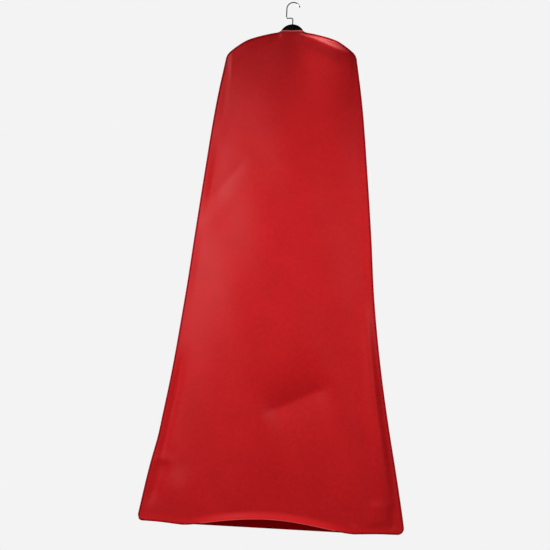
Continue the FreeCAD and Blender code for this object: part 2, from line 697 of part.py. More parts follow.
def zip_slider():
    low_y = -ZIP_TAPE_T - SLIDER_CLEARANCE - SLIDER_PLATE_T
    top_y = COIL_H + SLIDER_CLEARANCE
    bottom = slider_plate(low_y, SLIDER_PLATE_T)
    upper = slider_plate(top_y, SLIDER_PLATE_T)
    solid = slider_plate(SLIDER_CLEARANCE, top_y - SLIDER_CLEARANCE + SLIDER_PLATE_T / 2)
    channel = block(-SLIDER_HALF + SLIDER_LIP, SLIDER_HALF - SLIDER_LIP, -SLIDER_L, top_y,
                    -SLIDER_L, SLIDER_L)
    lips = solid.cut(channel)
    post = block(-SLIDER_POST_HALF, SLIDER_POST_HALF, low_y + SLIDER_PLATE_T / 2,
                 top_y + SLIDER_PLATE_T / 2, SLIDER_POST_Z, SLIDER_POST_Z + SLIDER_POST_L)
    crown = SLIDER_TOP_Y + 2 * SLIDER_CLEARANCE + TAB_PIN_D
    bridge = block(-BRIDGE_HALF, BRIDGE_HALF, top_y + SLIDER_PLATE_T / 2, crown + BRIDGE_T,
                   -BRIDGE_L / 2, BRIDGE_L / 2)
    outer = [e for e in bridge.Edges if e.BoundBox.YMin > crown and e.BoundBox.XLength > BRIDGE_HALF]
    bridge = bridge.makeFillet(BRIDGE_ROUND, outer)
    window = block(-BRIDGE_HALF, BRIDGE_HALF, SLIDER_TOP_Y, crown,
                   -BRIDGE_L / 2 + BRIDGE_T, BRIDGE_L / 2 - BRIDGE_T)
    body = bottom.fuse([upper, lips, post, bridge.cut(window)])
    body.translate(V(0, 0, SLIDER_REST))
    return on_zip(body.removeSplitter())


def zip_pull_tab():
    """A flat tab whose cross pin turns under the slider's bridge; it hangs straight down."""
    r = TAB_PIN_D / 2
    pin = Part.makeCylinder(r, TAB_W, V(-TAB_W / 2, 0, 0), V(1, 0, 0))
    pieces = []
    for hand in (-1, 1):
        x0, x1 = sorted((hand * (TAB_W / 2 - TAB_ARM_W), hand * TAB_W / 2))
        pieces.append(block(x0, x1, -TAB_T / 2, TAB_T / 2, -TAB_ARMS_L, 0))
    plate = block(-TAB_PLATE_W / 2, TAB_PLATE_W / 2, -TAB_T / 2, TAB_T / 2, -TAB_L, -TAB_ARMS_L)
    upright_edges = [e for e in plate.Edges if e.BoundBox.YLength > TAB_T / 2]
    plate = plate.makeFillet(TAB_ROUND, upright_edges)
    hole = Part.makeCylinder(TAB_HOLE_R, TAB_T, V(0, -TAB_T / 2, TAB_HOLE_UP - TAB_L), V(0, 1, 0))
    pieces.append(plate.cut(hole))
    tab = pin.fuse(pieces)
    tab.translate(V(0, PIN_Y, PIN_Z))
    return on_zip(tab.removeSplitter())


# ---------------------------------------------------------------- all nodes

NODES = {
    "hook": hook,
    "hook_washer": washer,
    "hanger_body": hanger_body,
    "back_panel": back_panel,
    "front_panel_left": lambda: front_panel(-1),
    "front_panel_right": lambda: front_panel(1),
    "side_gusset_left": lambda: side_gusset(-1),
    "side_gusset_right": lambda: side_gusset(1),
    "bottom_gusset": bottom_gusset,
    "back_binding": lambda: panel_binding(-1),
    "front_binding": lambda: panel_binding(1),
    "shoulder_binding_left": lambda: shoulder_binding(-1),
    "shoulder_binding_right": lambda: shoulder_binding(1),
    "neck_facing_back": lambda: neck_facing(-1),
    "neck_facing_front": lambda: neck_facing(1),
    "zip_tape_left": lambda: zip_tape(-1),
    "zip_tape_right": lambda: zip_tape(1),
    "zip_coil_left": lambda: zip_coil(-1),
    "zip_coil_right": lambda: zip_coil(1),
    "zip_top_stop_left": lambda: zip_top_stop(-1),
    "zip_top_stop_right": lambda: zip_top_stop(1),
    "zip_bottom_stop": zip_bottom_stop,
    "zip_slider": zip_slider,
    "zip_pull_tab": zip_pull_tab,
}

os.makedirs("parts", exist_ok=True)
for name, make in NODES.items():
    shape = make()
    if len(shape.Solids) == 1:
        shape = shape.Solids[0]
    shape.exportStep("parts/" + name + ".step")
    box = shape.BoundBox
    print(name, shape.ShapeType, "valid" if shape.isValid() else "NOT VALID",
          "solids", len(shape.Solids), "volume %.0f" % shape.Volume,
          "x %.1f..%.1f y %.1f..%.1f z %.1f..%.1f" % (box.XMin, box.XMax, box.YMin, box.YMax,
                                                      box.ZMin, box.ZMax))

pin = on_zip(Part.Vertex(V(0, PIN_Y, PIN_Z))).Point
print("zip travel %.2f, direction 0 %.6f %.6f" % (SLIDER_HIGH - SLIDER_REST,
                                                   -math.sin(ZIP_TILT), math.cos(ZIP_TILT)))
print("tab pin at %.3f %.3f %.3f" % (pin.x, pin.y, pin.z))
print("hub top %.1f, neck %.1f, hem %.1f" % (HUB_TOP_Z, NECK_Z, HEM_Z))
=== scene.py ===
# %% [markdown]
# # A long garment bag on its hanger
# The bag is a flared cover for a long gown. It is cut from thin non-woven cloth, its edges are bound
# with a dark tape, and it hangs closed on a moulded hanger with a wire hook.
# The hard parts come from the frame as they are and only get a finish. Everything soft is modelled
# here: the cloth with its folds, the tapes, the stitches and the zip's coils.

# %% Load the frame
import math

import bpy
import numpy as np
from mathutils import Matrix, Vector


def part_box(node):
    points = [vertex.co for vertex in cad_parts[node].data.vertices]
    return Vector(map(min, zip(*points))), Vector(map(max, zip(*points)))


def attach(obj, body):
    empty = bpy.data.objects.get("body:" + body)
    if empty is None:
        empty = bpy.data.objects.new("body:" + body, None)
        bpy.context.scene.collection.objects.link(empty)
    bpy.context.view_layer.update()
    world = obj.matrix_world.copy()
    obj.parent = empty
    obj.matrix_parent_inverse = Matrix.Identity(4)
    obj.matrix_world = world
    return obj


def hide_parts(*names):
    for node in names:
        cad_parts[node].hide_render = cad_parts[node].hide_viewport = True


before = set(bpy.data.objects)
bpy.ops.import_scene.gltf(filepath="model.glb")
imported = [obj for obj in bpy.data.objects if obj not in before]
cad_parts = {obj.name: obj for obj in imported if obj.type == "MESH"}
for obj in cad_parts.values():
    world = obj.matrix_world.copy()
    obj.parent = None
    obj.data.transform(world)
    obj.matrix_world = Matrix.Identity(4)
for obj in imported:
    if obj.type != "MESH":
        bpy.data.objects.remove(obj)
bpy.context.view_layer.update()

print("nodes in the frame:", len(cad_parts))

# %% [markdown]
# ## Sizes
# Every size starts from the frame: where the neck is, where the hem is, how long the hanger's arms
# are. Only what the cloth does between those places is chosen here. Metres throughout, so a size
# that a maker would give in millimetres is written as a number times MM.

# %% Sizes from the frame
MM = 0.001
hanger_low, hanger_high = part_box("hanger_body")
panel_low, panel_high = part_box("back_panel")
coil_low, coil_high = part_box("zip_coil_left")
tape_low, tape_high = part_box("zip_tape_right")

NECK_Z = panel_high.z
HEM_Z = panel_low.z
LENGTH = NECK_Z - HEM_Z
ARM_HALF = hanger_high.x
SHOULDER_HALF = ARM_HALF + 28 * MM
SHOULDER_FALL = 96.4 * MM
SIDE_LENGTH = LENGTH - SHOULDER_FALL
HEM_HALF = panel_high.x + 8 * MM     # where side and hem would cross, before the corner is rounded
HEM_CORNER_R = 20 * MM
HEM_CORNER_LIFT = 6 * MM             # the corners hang this much higher than the belly between them
HEM_LIFT_FROM = 250 * MM             # the lift starts here, measured from the middle,
HEM_LIFT_OVER = 160 * MM             # and is reached after this
HEM_ARCH = 34 * MM                   # the hem is drawn up this much in the middle
HEM_ARCH_HALF = 300 * MM
HEM_ARCH_ROUND = 1.3                 # above 1 the arch's ends run out more softly
SIDES = {-1: "left", 1: "right"}
print("neck at", round(NECK_Z, 4), "hem at", round(HEM_Z, 4), "half hem", round(HEM_HALF, 4))

# %% [markdown]
# ## The cut of the cover
# A pattern cutter draws the side edge and the shoulder with a French curve: a few points and one
# smooth line through them. `curve_through` is that French curve. It works on whole arrays, so a
# panel of forty thousand points is one call.

# %% Smooth curves
# share of the way down the side, share of its widening
SIDE_FLARE = [(0, 0), (0.09, 0.107), (0.26, 0.25), (0.39, 0.344), (0.52, 0.425),
              (0.65, 0.546), (0.78, 0.697), (0.91, 0.885), (1, 1)]
# share of the way out along the shoulder, share of its fall
SHOULDER_CURVE = [(0, 0), (0.15, 0.003), (0.21, 0.042), (0.33, 0.1), (0.46, 0.178), (0.58, 0.262),
                  (0.71, 0.39), (0.83, 0.585), (0.92, 0.765), (0.965, 0.875), (1, 1)]


def eased(t):
    """Goes from 0 to 1 with a soft start and a soft end."""
    t = np.clip(t, 0, 1)
    return t * t * (3 - 2 * t)


def bump(t, middle, reach):
    """A soft hill of height 1 round a middle."""
    return np.exp(-((t - middle) / reach) ** 2)


def curve_through(points):
    """A smooth curve through a few points, as a function."""
    at, value = np.array(points, float).T
    slope = np.gradient(value, at)

    def curve(t):
        t = np.clip(t, at[0], at[-1])
        i = np.clip(np.searchsorted(at, t) - 1, 0, len(at) - 2)
        gap = at[i + 1] - at[i]
        s = (t - at[i]) / gap
        start = value[i] * (1 + 2 * s) * (1 - s) ** 2 + gap * slope[i] * s * (1 - s) ** 2
        end = value[i + 1] * s * s * (3 - 2 * s) + gap * slope[i + 1] * s * s * (s - 1)
        return start + end

    return curve


flare = curve_through(SIDE_FLARE)
fall = curve_through(SHOULDER_CURVE)
print("flare half way down:", round(float(flare(0.5)), 3))

# %% [markdown]
# The outline in numbers. Heights are measured down from the neck. The two sides aren't quite alike,
# as cloth never hangs twice the same: the left is a little fuller at hip height and the right a
# little lower down. The hem's corners are drawn in to a round, so the grid of the panel keeps its
# rows and columns and no corner has to be cut off.
# A hand is -1 for the left and +1 for the right.

# %% Outline
# How far a side stands outside the even flare: where, over what reach and by how much.
FULLER_LEFT = [(1.02, 0.20, 4.0 * MM), (1.50, 0.06, -2.4 * MM)]
FULLER_RIGHT = [(1.50, 0.22, 4.0 * MM), (1.76, 0.10, 2.4 * MM)]


def fuller(down, places):
    """The sum of a few soft swellings of the side edge."""
    return sum(amount * bump(down, middle, reach) for middle, reach, amount in places)


def half_width(down, hand):
    """From the middle to the side edge, at a height on the edge."""
    even = SHOULDER_HALF + (HEM_HALF - SHOULDER_HALF) * flare((down - SHOULDER_FALL) / SIDE_LENGTH)
    return even + np.where(hand < 0, fuller(down, FULLER_LEFT), fuller(down, FULLER_RIGHT))


def shoulder_down(x):
    """How far the shoulder line has fallen below the neck."""
    return SHOULDER_FALL * fall(np.abs(x) / SHOULDER_HALF)


def hem_rise(x):
    """The arch of the hem alone."""
    inside = np.clip(np.abs(x) / HEM_ARCH_HALF, 0, 1)
    return HEM_ARCH * np.maximum(np.cos(math.pi / 2 * inside), 0) ** HEM_ARCH_ROUND


def hem_height(x):
    """Height of the hem's edge above its lowest line: the arch in the middle, the lift at the corners."""
    return hem_rise(x) + HEM_CORNER_LIFT * eased((np.abs(x) - HEM_LIFT_FROM) / HEM_LIFT_OVER)


def corner_round():
    """The round at the hem's corner: its centre, as x and height below the neck, and the side's lean."""
    run_up = 60 * MM                 # the side's lean is measured over this height
    low_x = float(half_width(LENGTH, 1))
    lean = math.atan2(low_x - float(half_width(LENGTH - run_up, 1)), run_up)
    run = HEM_CORNER_R / math.tan((math.pi / 2 - lean) / 2)
    return low_x - run, LENGTH - HEM_CORNER_LIFT - HEM_CORNER_R, lean


def rounded(x, down):
    """Draws points near the hem's corners in, so that the corners become round."""
    middle_x, middle_down, to_side = corner_round()
    dx = np.abs(x) - middle_x
    dz = middle_down - down
    angle = np.arctan2(dz, dx)
    inside = (angle > -math.pi / 2) & (angle < to_side)
    shrink = np.maximum(np.cos(angle - to_side), np.cos(angle + math.pi / 2))
    shrink = np.where(inside, shrink, 1)
    return np.sign(x) * (middle_x + dx * shrink), middle_down - dz * shrink


print("corner's centre:", [round(v, 4) for v in corner_round()])

# %% [markdown]
# ## How deep the cover is
# Closed and empty, the two panels lie close together. They open round the hanger's arms, spread
# slowly towards the hem and are pulled together again at the side seams. `cloth_depth` gives the
# distance from the middle plane to the outside of a panel.

# %% Depth of the cover
CLOTH_T = 1.5 * MM                   # room that a panel takes in the frame
SHEET_T = 0.5 * MM                   # the cloth that is drawn
NECK_DEPTH = 11 * MM
NECK_STRAIGHT_HALF = 38 * MM
NECK_OPEN_HALF = 42 * MM             # the neck fold ends and the shoulder tapes start here
NECK_SLOT_HALF = 52 * MM
HEM_DEPTH = 55 * MM
SEAM_HALF = 1.8 * MM                 # sewn together, the panels lie this far from the middle plane
SEAM_FIN = 5 * MM                    # the shoulder seam stands up this far above the arm
SEAM_SLOPE = 6 * MM
SIDE_OPEN_TOP = 3.6 * MM             # half the gap that the gusset bridges, under the shoulder
SIDE_OPEN_GAIN = 4.4 * MM            # and what it gains down to the hem
SIDE_OPENS_OVER = 120 * MM
ARM_DEPTH = hanger_high.y + 2 * MM
ARM_PAST = 6 * MM                    # the cloth stays open this far past the arm's end
ARM_FADE = 22 * MM                   # and closes over this length
SLOT_FADE = 50 * MM                  # the neck's slot closes downwards over this height
HELD_FROM = 40 * MM                  # the arms hold the cloth flat from this far out, at the seam,
HELD_WIDENS = 120 * MM               # and from this much further out a little lower down
HELD_WIDENS_OVER = 80 * MM
SIDE_LET_GO = 60 * MM                # the side edges are free of the arms from this far below
ARM_FELT = 250 * MM                  # how far below the shoulder the arms still hold the cloth
ZIP_GAP_HALF = 5.6 * MM
ZIP_FLAT = ZIP_GAP_HALF + 14.5 * MM  # the zipped panel is flat out to here, where its tape is sewn on


def side_depth(down):
    """From the middle plane to the outside of a panel, at its side edge."""
    below = down - SHOULDER_FALL
    spread = SIDE_OPEN_TOP + SIDE_OPEN_GAIN * below / SIDE_LENGTH
    return SEAM_HALF + (spread - SEAM_HALF) * eased(below / SIDE_OPENS_OVER)


def shoulder_depth(x, below):
    """The depth that the seam, the neck's slot and the hanger's arms ask for, below the shoulder line."""
    slot = eased((NECK_SLOT_HALF - x) / (NECK_SLOT_HALF - NECK_STRAIGHT_HALF))
    top = SEAM_HALF + (NECK_DEPTH - SEAM_HALF) * slot
    over_arm = SEAM_HALF + (ARM_DEPTH - SEAM_HALF) * (1 - eased((x - ARM_HALF - ARM_PAST) / ARM_FADE))
    closing = over_arm + (top - over_arm) * (1 - eased(below / SLOT_FADE))
    opening = top + (over_arm - top) * eased((below - SEAM_FIN) / SEAM_SLOPE)
    return np.where(top > over_arm, closing, opening)


def cloth_depth(x, down, zipped):
    """From the middle plane to the outside of a panel; the zipped panel is flat beside its zip."""
    hand = np.where(x < 0, -1, 1)
    x = np.abs(x)
    flat = ZIP_FLAT if zipped else 0.0
    below = down - shoulder_down(np.minimum(x, SHOULDER_HALF))
    reach = half_width(down, hand)
    across = np.clip((x - flat) / (reach - flat), 0, 1)
    near = shoulder_depth(x, below)
    middle = NECK_DEPTH + (HEM_DEPTH - NECK_DEPTH) * down / LENGTH
    edge = side_depth(down)
    far = edge + (middle - edge) * (1 - across ** 2)
    held_from = HELD_FROM + HELD_WIDENS * eased(below / HELD_WIDENS_OVER)
    held = eased((x - flat) / held_from) * (1 - across ** 4 * eased(below / SIDE_LET_GO))
    share = 1 - (1 - eased(below / ARM_FELT)) * held
    return near + np.maximum(0, far - near) * share


print("depth at the hem:", round(float(cloth_depth(np.array(0.0), np.array(LENGTH), False)), 4))

# %% [markdown]
# ## Folds
# The cloth is stiff for its weight, so it doesn't ripple: it keeps broad, shallow folds with a few
# sharper breaks. A simulation would give folds, but not these folds in these places, so each one is set
# one by one, as a sculptor would: a line from one place to another, a width, a height (below zero it is a
# dent), how much steeper one flank is than the other, and how round or sharp its crest is.
# Slow waves under them keep the rest of the cloth from looking ironed.

# %% One fold, slow waves
FOLD_PAST = 0.15                     # a fold runs past its two places by this share of its length
FOLD_FADES = 0.4                     # and fades in and out over this share
# how fast a wave goes across and down, its turn as a multiple of the panel's own, and its height
WAVES = [(11.0, 2.3, 1.0, 3.2 * MM), (5.2, -4.1, 2.1, 2.6 * MM), (19.0, 5.5, -1.0, 1.6 * MM),
         (31.0, -13.0, 3.0, 1.0 * MM)]
WAVES_FROM = 150 * MM                # the shoulders are drawn tight and have no waves
WAVES_OVER = 400 * MM
SHORT_WAVE_FROM = 500 * MM           # the third wave needs slacker cloth
SHORT_WAVE_OVER = 600 * MM


def fold(x, down, start, end, width, height, steeper, roundness):
    """One fold. A positive `steeper` widens the flank above its line and sharpens the one below; a
    roundness of 2 is a soft roll and 1 is a pressed crease."""
    (x0, d0), (x1, d1) = sorted((start, end))
    length = math.hypot(x1 - x0, d1 - d0)
    tx, td = (x1 - x0) / length, (d1 - d0) / length
    along = ((x - x0) * tx + (down - d0) * td) / length
    over = (x - x0) * td - (down - d0) * tx
    flank = np.where(over > 0, width * (1 + steeper), width * (1 - steeper))
    ends = eased((along + FOLD_PAST) / FOLD_FADES) * eased((1 + FOLD_PAST - along) / FOLD_FADES)
    return height * np.exp(-np.abs(over / flank) ** roundness) * ends


def slow_waves(x, down, turn):
    """Broad shallow waves, longer downwards than across."""
    waves = [height * np.sin(a * x + b * down + c * turn) for a, b, c, height in WAVES]
    waves[2] = waves[2] * eased((down - SHORT_WAVE_FROM) / SHORT_WAVE_OVER)
    return sum(waves) * eased((down - WAVES_FROM) / WAVES_OVER)


print("waves:", len(WAVES))

# %% [markdown]
# The two lists are the places of the folds. The plain back has a soft swelling along the shoulder, a
# slanting crease on the left, one deep dent in the middle of the skirt, a roll down the right edge
# and small breaks near both corners. The zipped side is calmer, because the zip keeps it straight.

# %% Folds of the cloth
# each row: start and end as (x, height below the neck), width, height, steeper, roundness
BACK_FOLDS = [
    ((-0.150, 0.495), (-0.262, 0.632), 32 * MM, -2.8 * MM, 0.2, 1.4),     # slanting crease
    ((-0.170, 0.590), (-0.300, 0.760), 44 * MM, 1.6 * MM, 0.0, 2),        # soft rise under it
    ((-0.245, 0.330), (-0.285, 0.560), 26 * MM, 1.8 * MM, 0.0, 2),        # rise at the left edge
    ((-0.030, 1.404), (0.185, 1.302), 78 * MM, -24 * MM, -0.15, 1.25),    # the deep dent
    ((0.308, 0.980), (0.416, 1.800), 32 * MM, 11.0 * MM, 0.0, 2),         # roll down the right edge
    ((-0.340, 1.220), (-0.396, 1.600), 22 * MM, -7.5 * MM, 0.0, 2),       # valley down the left edge
    ((-0.440, 1.572), (-0.345, 1.585), 28 * MM, 6.0 * MM, 0.35, 1.6),     # short ridge on the left
    ((-0.350, 1.540), (-0.420, 1.725), 26 * MM, -6.5 * MM, 0.3, 1.7),     # hollow below it
    ((-0.325, 1.625), (-0.285, 1.880), 60 * MM, 9.0 * MM, 0.0, 2),        # swelling over the left corner
    ((0.265, 1.715), (0.300, 1.775), 9 * MM, -3.5 * MM, 0.4, 1.3),        # small break, lower right
    ((0.370, 1.690), (0.375, 1.770), 26 * MM, 5.0 * MM, 0.0, 2),          # swelling by the right corner
    ((0.425, 1.700), (0.430, 1.780), 14 * MM, -4.0 * MM, 0.0, 2),         # hollow beside it
    ((0.020, 0.008), (0.215, 0.092), 22 * MM, 8.0 * MM, -0.4, 2),         # along the right shoulder
    ((-0.200, 0.075), (-0.060, 0.030), 13 * MM, 2.0 * MM, 0.0, 2),        # faint, along the left one
]
FRONT_FOLDS = [
    ((-0.060, 0.360), (-0.230, 0.520), 24 * MM, -4.0 * MM, 0.3, 1.3),     # crease, upper left
    ((-0.080, 1.120), (-0.290, 1.260), 30 * MM, -5.0 * MM, 0.5, 1.3),     # crease, middle left
    ((-0.300, 1.300), (-0.340, 1.740), 34 * MM, 5.0 * MM, 0.0, 2),        # roll, lower left
    ((0.070, 0.640), (0.260, 0.820), 28 * MM, -4.5 * MM, 0.3, 1.3),       # crease, upper right
    ((0.100, 1.480), (0.330, 1.390), 30 * MM, -5.0 * MM, 0.5, 1.3),       # crease, lower right
    ((0.250, 1.000), (0.330, 1.700), 38 * MM, 4.5 * MM, 0.0, 2),          # roll down the right
    ((-0.225, 1.600), (-0.205, 1.770), 26 * MM, 4.0 * MM, 0.0, 2),        # short roll by the hem
]
BACK_TURN = 0.4                      # where each panel's slow waves begin
FRONT_TURN = 1.9
HEM_ROLL = 7 * MM                    # how far the hem's arch turns outwards,
HEM_ROLL_OVER = 30 * MM              # and over what height
EDGE_FIRM = 2 * MM                   # bindings keep the cloth beside them free of folds: this wide at
EDGE_CALM_OVER = 32 * MM             # the sides, with this much to ease off,
SEAM_FIRM = 5 * MM                   # and the same at the shoulders
SEAM_CALM_OVER = 14 * MM
ZIP_CALM_OVER = 50 * MM


def roll_of_hem(x, down):
    """The cloth turns outwards just above the arch of the hem and shows a brighter band there."""
    above = LENGTH - down - hem_height(x)
    return HEM_ROLL * (1 - eased(above / HEM_ROLL_OVER)) * (hem_rise(x) / HEM_ARCH)


def outside(x, down, zipped):
    """How far the outside of a panel stands from the middle plane, folds and all."""
    folds = FRONT_FOLDS if zipped else BACK_FOLDS
    depth = cloth_depth(x, down, zipped)
    extra = slow_waves(x, down, FRONT_TURN if zipped else BACK_TURN) + roll_of_hem(x, down)
    for line in folds:
        extra = extra + fold(x, down, *line)
    from_edge = half_width(down, np.where(x < 0, -1, 1)) - np.abs(x)
    calm = eased((from_edge - EDGE_FIRM) / EDGE_CALM_OVER)
    calm = calm * eased((down - shoulder_down(x) - SEAM_FIRM) / SEAM_CALM_OVER)
    if zipped:
        calm = calm * eased((np.abs(x) - ZIP_FLAT) / ZIP_CALM_OVER)
    return depth + extra * calm


print("folds: back", len(BACK_FOLDS), "zip side", len(FRONT_FOLDS))

# %% [markdown]
# ## From numbers to meshes
# Two builders are enough for all that is soft: one for sheets and one for tapes. Both store a UV map
# in metres: the materials read it, so a weave has its true scale and follows the cloth wherever it
# turns. They share the few helpers of this cell.

# %% Objects, attributes and grids
TINY = 1e-12                         # keeps a division from failing where a length is zero


def new_object(name, points, faces, uvs, finish):
    """A smooth-shaded object from arrays; uvs has one pair per face corner."""
    mesh = bpy.data.meshes.new(name)
    mesh.from_pydata([tuple(p) for p in points], [], faces)
    layer = mesh.uv_layers.new(name="UVMap")
    layer.data.foreach_set("uv", np.array(uvs, np.float32).ravel())
    mesh.shade_smooth()
    mesh.materials.append(finish)
    made = bpy.data.objects.new(name, mesh)
    bpy.context.scene.collection.objects.link(made)
    return made


def store(piece, name, values):
    """Keeps one number per vertex, for a material to read."""
    layer = piece.data.attributes.new(name, "FLOAT", "POINT")
    layer.data.foreach_set("value", np.asarray(values, np.float32).ravel())


def run_of(x, down):
    """The length of a path in the panel's plane, up to each of its points."""
    return np.concatenate([[0], np.cumsum(np.hypot(np.diff(x), np.diff(down)))])


print("helpers ready")

# %% [markdown]
# ### Sheets
# `sheet_mesh` takes a grid of points on the outside of the cloth and gives it a second skin half a
# millimetre behind, joined round the rim, so the piece is a closed body. A Solidify modifier would
# do the same, but it would have to be applied, and the grid already knows its own directions.

# %% Sheets

def grid_faces(rows, columns, first, turned):
    """Quads between neighbours of a grid whose points are numbered row by row."""
    i = np.arange(rows - 1)[:, None] * columns + np.arange(columns - 1)[None, :] + first
    quads = np.stack([i, i + 1, i + columns + 1, i + columns], axis=-1).reshape(-1, 4)
    return quads[:, ::-1] if turned else quads


def grid_normals(grid, outwards):
    """The direction across the sheet at each of its points."""
    along = np.gradient(grid, axis=0)
    across = np.gradient(grid, axis=1)
    normal = np.cross(along, across)
    normal /= np.linalg.norm(normal, axis=-1, keepdims=True) + TINY
    middle = normal.reshape(-1, 3).mean(0)
    return normal if middle @ np.array(outwards, float) > 0 else -normal


def sheet_mesh(name, grid, flat, outwards, finish, thickness=SHEET_T):
    """A thin closed sheet through a grid of points, with the flat cut as its UV map."""
    rows, columns = grid.shape[:2]
    normal = grid_normals(grid, outwards)
    points = np.concatenate([grid.reshape(-1, 3), (grid - normal * thickness).reshape(-1, 3)])
    count = rows * columns
    facing = np.cross(grid[0, 1] - grid[0, 0], grid[1, 0] - grid[0, 0]) @ normal[0, 0]
    turned = facing < 0
    faces = [grid_faces(rows, columns, 0, turned), grid_faces(rows, columns, count, not turned)]
    rim = [r * columns for r in range(rows)]
    rim += [(rows - 1) * columns + c for c in range(1, columns)]
    rim += [r * columns + columns - 1 for r in range(rows - 2, -1, -1)]
    rim += list(range(columns - 2, 0, -1))
    around = np.array([rim, np.roll(rim, -1)]).T
    edge = np.stack([around[:, 0], around[:, 1], around[:, 1] + count, around[:, 0] + count], axis=-1)
    faces.append(edge[:, ::-1] if turned else edge)
    faces = np.concatenate(faces)
    uv = np.concatenate([flat.reshape(-1, 2)] * 2)
    return new_object(name, points, faces.tolist(), uv[faces.ravel()], finish)


print("sheets are", SHEET_T / MM, "mm thick")

# %% [markdown]
# ### Tapes
# `swept_mesh` joins one closed ring of points to the next along a path and closes both ends. A curve
# with a bevel object could carry a profile too, but it would twist it on the turns of the outline,
# and each leg of the tape has to lie on its own place of the cloth.

# %% Tapes

def swept_mesh(name, rings, steps, finish):
    """A closed body from one ring of points per step; steps are the lengths along the path."""
    count, size = rings.shape[:2]
    closed = np.concatenate([rings, rings[:, :1]], axis=1)
    round_it = np.linalg.norm(np.diff(closed[count // 2], axis=0), axis=-1)
    around = np.concatenate([[0], np.cumsum(round_it)])
    i = np.arange(count - 1)[:, None] * size
    j = np.arange(size)[None, :]
    k = (j + 1) % size
    quads = np.stack([i + j, i + k, i + size + k, i + size + j], axis=-1).reshape(-1, 4)
    here, following = around[j + 0 * i], around[j + 1 + 0 * i]
    low, high = steps[:-1][:, None] + 0 * j, steps[1:][:, None] + 0 * j
    u = np.stack([here, following, following, here], -1)
    v = np.stack([low, low, high, high], -1)
    uvs = np.stack([u, v], -1).reshape(-1, 2)
    ends = [list(range(size))[::-1], [size * (count - 1) + s for s in range(size)]]
    middle = rings[0].mean(0)
    volume = sum(np.dot(np.cross(a - middle, b - middle), rings[1].mean(0) - middle)
                 for a, b in zip(rings[0], np.roll(rings[0], -1, axis=0)))
    if volume < 0:
        quads = quads[:, ::-1]
        uvs = uvs.reshape(-1, 4, 2)[:, ::-1].reshape(-1, 2)
        ends = [e[::-1] for e in ends]
    faces = quads.tolist() + ends
    uvs = np.concatenate([uvs, np.zeros((2 * size, 2))])
    return new_object(name, rings.reshape(-1, 3), faces, uvs, finish)


print("both builders ready")

# %% [markdown]
# ## Materials
# Each material is a small tree of nodes. `add` puts one node in and wires it: a plain value is set
# on its socket, a socket from another node is linked. Colours are written as the hex values that a
# dyer's card would give and turned to linear light once, by `colour`.

# %% Helpers for materials

def colour(hex_code):
    """An sRGB hex code as linear red, green, blue and alpha."""
    parts = [int(hex_code[i:i + 2], 16) / 255 for i in (1, 3, 5)]
    return [c / 12.92 if c <= 0.04045 else ((c + 0.055) / 1.055) ** 2.4 for c in parts] + [1.0]


def add(tree, kind, inputs=None, **settings):
    """Adds a node with its settings; inputs are values or sockets of other nodes."""
    made = tree.nodes.new(kind)
    for name, value in settings.items():
        setattr(made, name, value)
    for name, value in (inputs or {}).items():
        socket = made.inputs[name]
        if isinstance(value, bpy.types.NodeSocket):
            tree.links.new(value, socket)
        else:
            socket.default_value = value
    return made


def material(name):
    """An empty material and its tree."""
    made = bpy.data.materials.new(name)
    made.use_nodes = True
    made.node_tree.nodes.clear()
    return made, made.node_tree


print("a mid red in linear light:", [round(c, 3) for c in colour("#b0090f")])

# %% [markdown]
# ### Spunbond polypropylene
# The cloth isn't woven: hot filaments are blown onto a belt and pressed together with a heated
# roller whose small pins weld them at points. That gives a slightly waxy, half matt skin with a
# grid of tiny dimples, and a cloudy tone where the filaments lie thicker or thinner. The pins are
# about 1.2 mm apart and the filaments a fiftieth of a millimetre thick; the pins are drawn 4 mm apart
# and the filaments 1.4 mm, because finer ones would vanish at this distance.
# Two numbers that the meshes carry change the colour. Above the hem a fuller red is painted: partly the
# cloth lying double where the hem is turned up, partly a painted highlight where the arch turns up to the
# light. Along sharp edges a pale pink is painted as a highlight.
# The strip between the hems hangs in the cover's shade, so it gets the same recipe with painted shade:
# darker and matt.

# %% Spunbond cloth
BOND_PITCH = 4 * MM
CLOUD_SIZE = 14 * MM
PATCH_SIZE = 111 * MM
FILAMENT_SIZE = 1.43 * MM
# pale pink painted on sharp edges as a highlight
EDGE_HIGHLIGHT_PINK = "#d9686a"


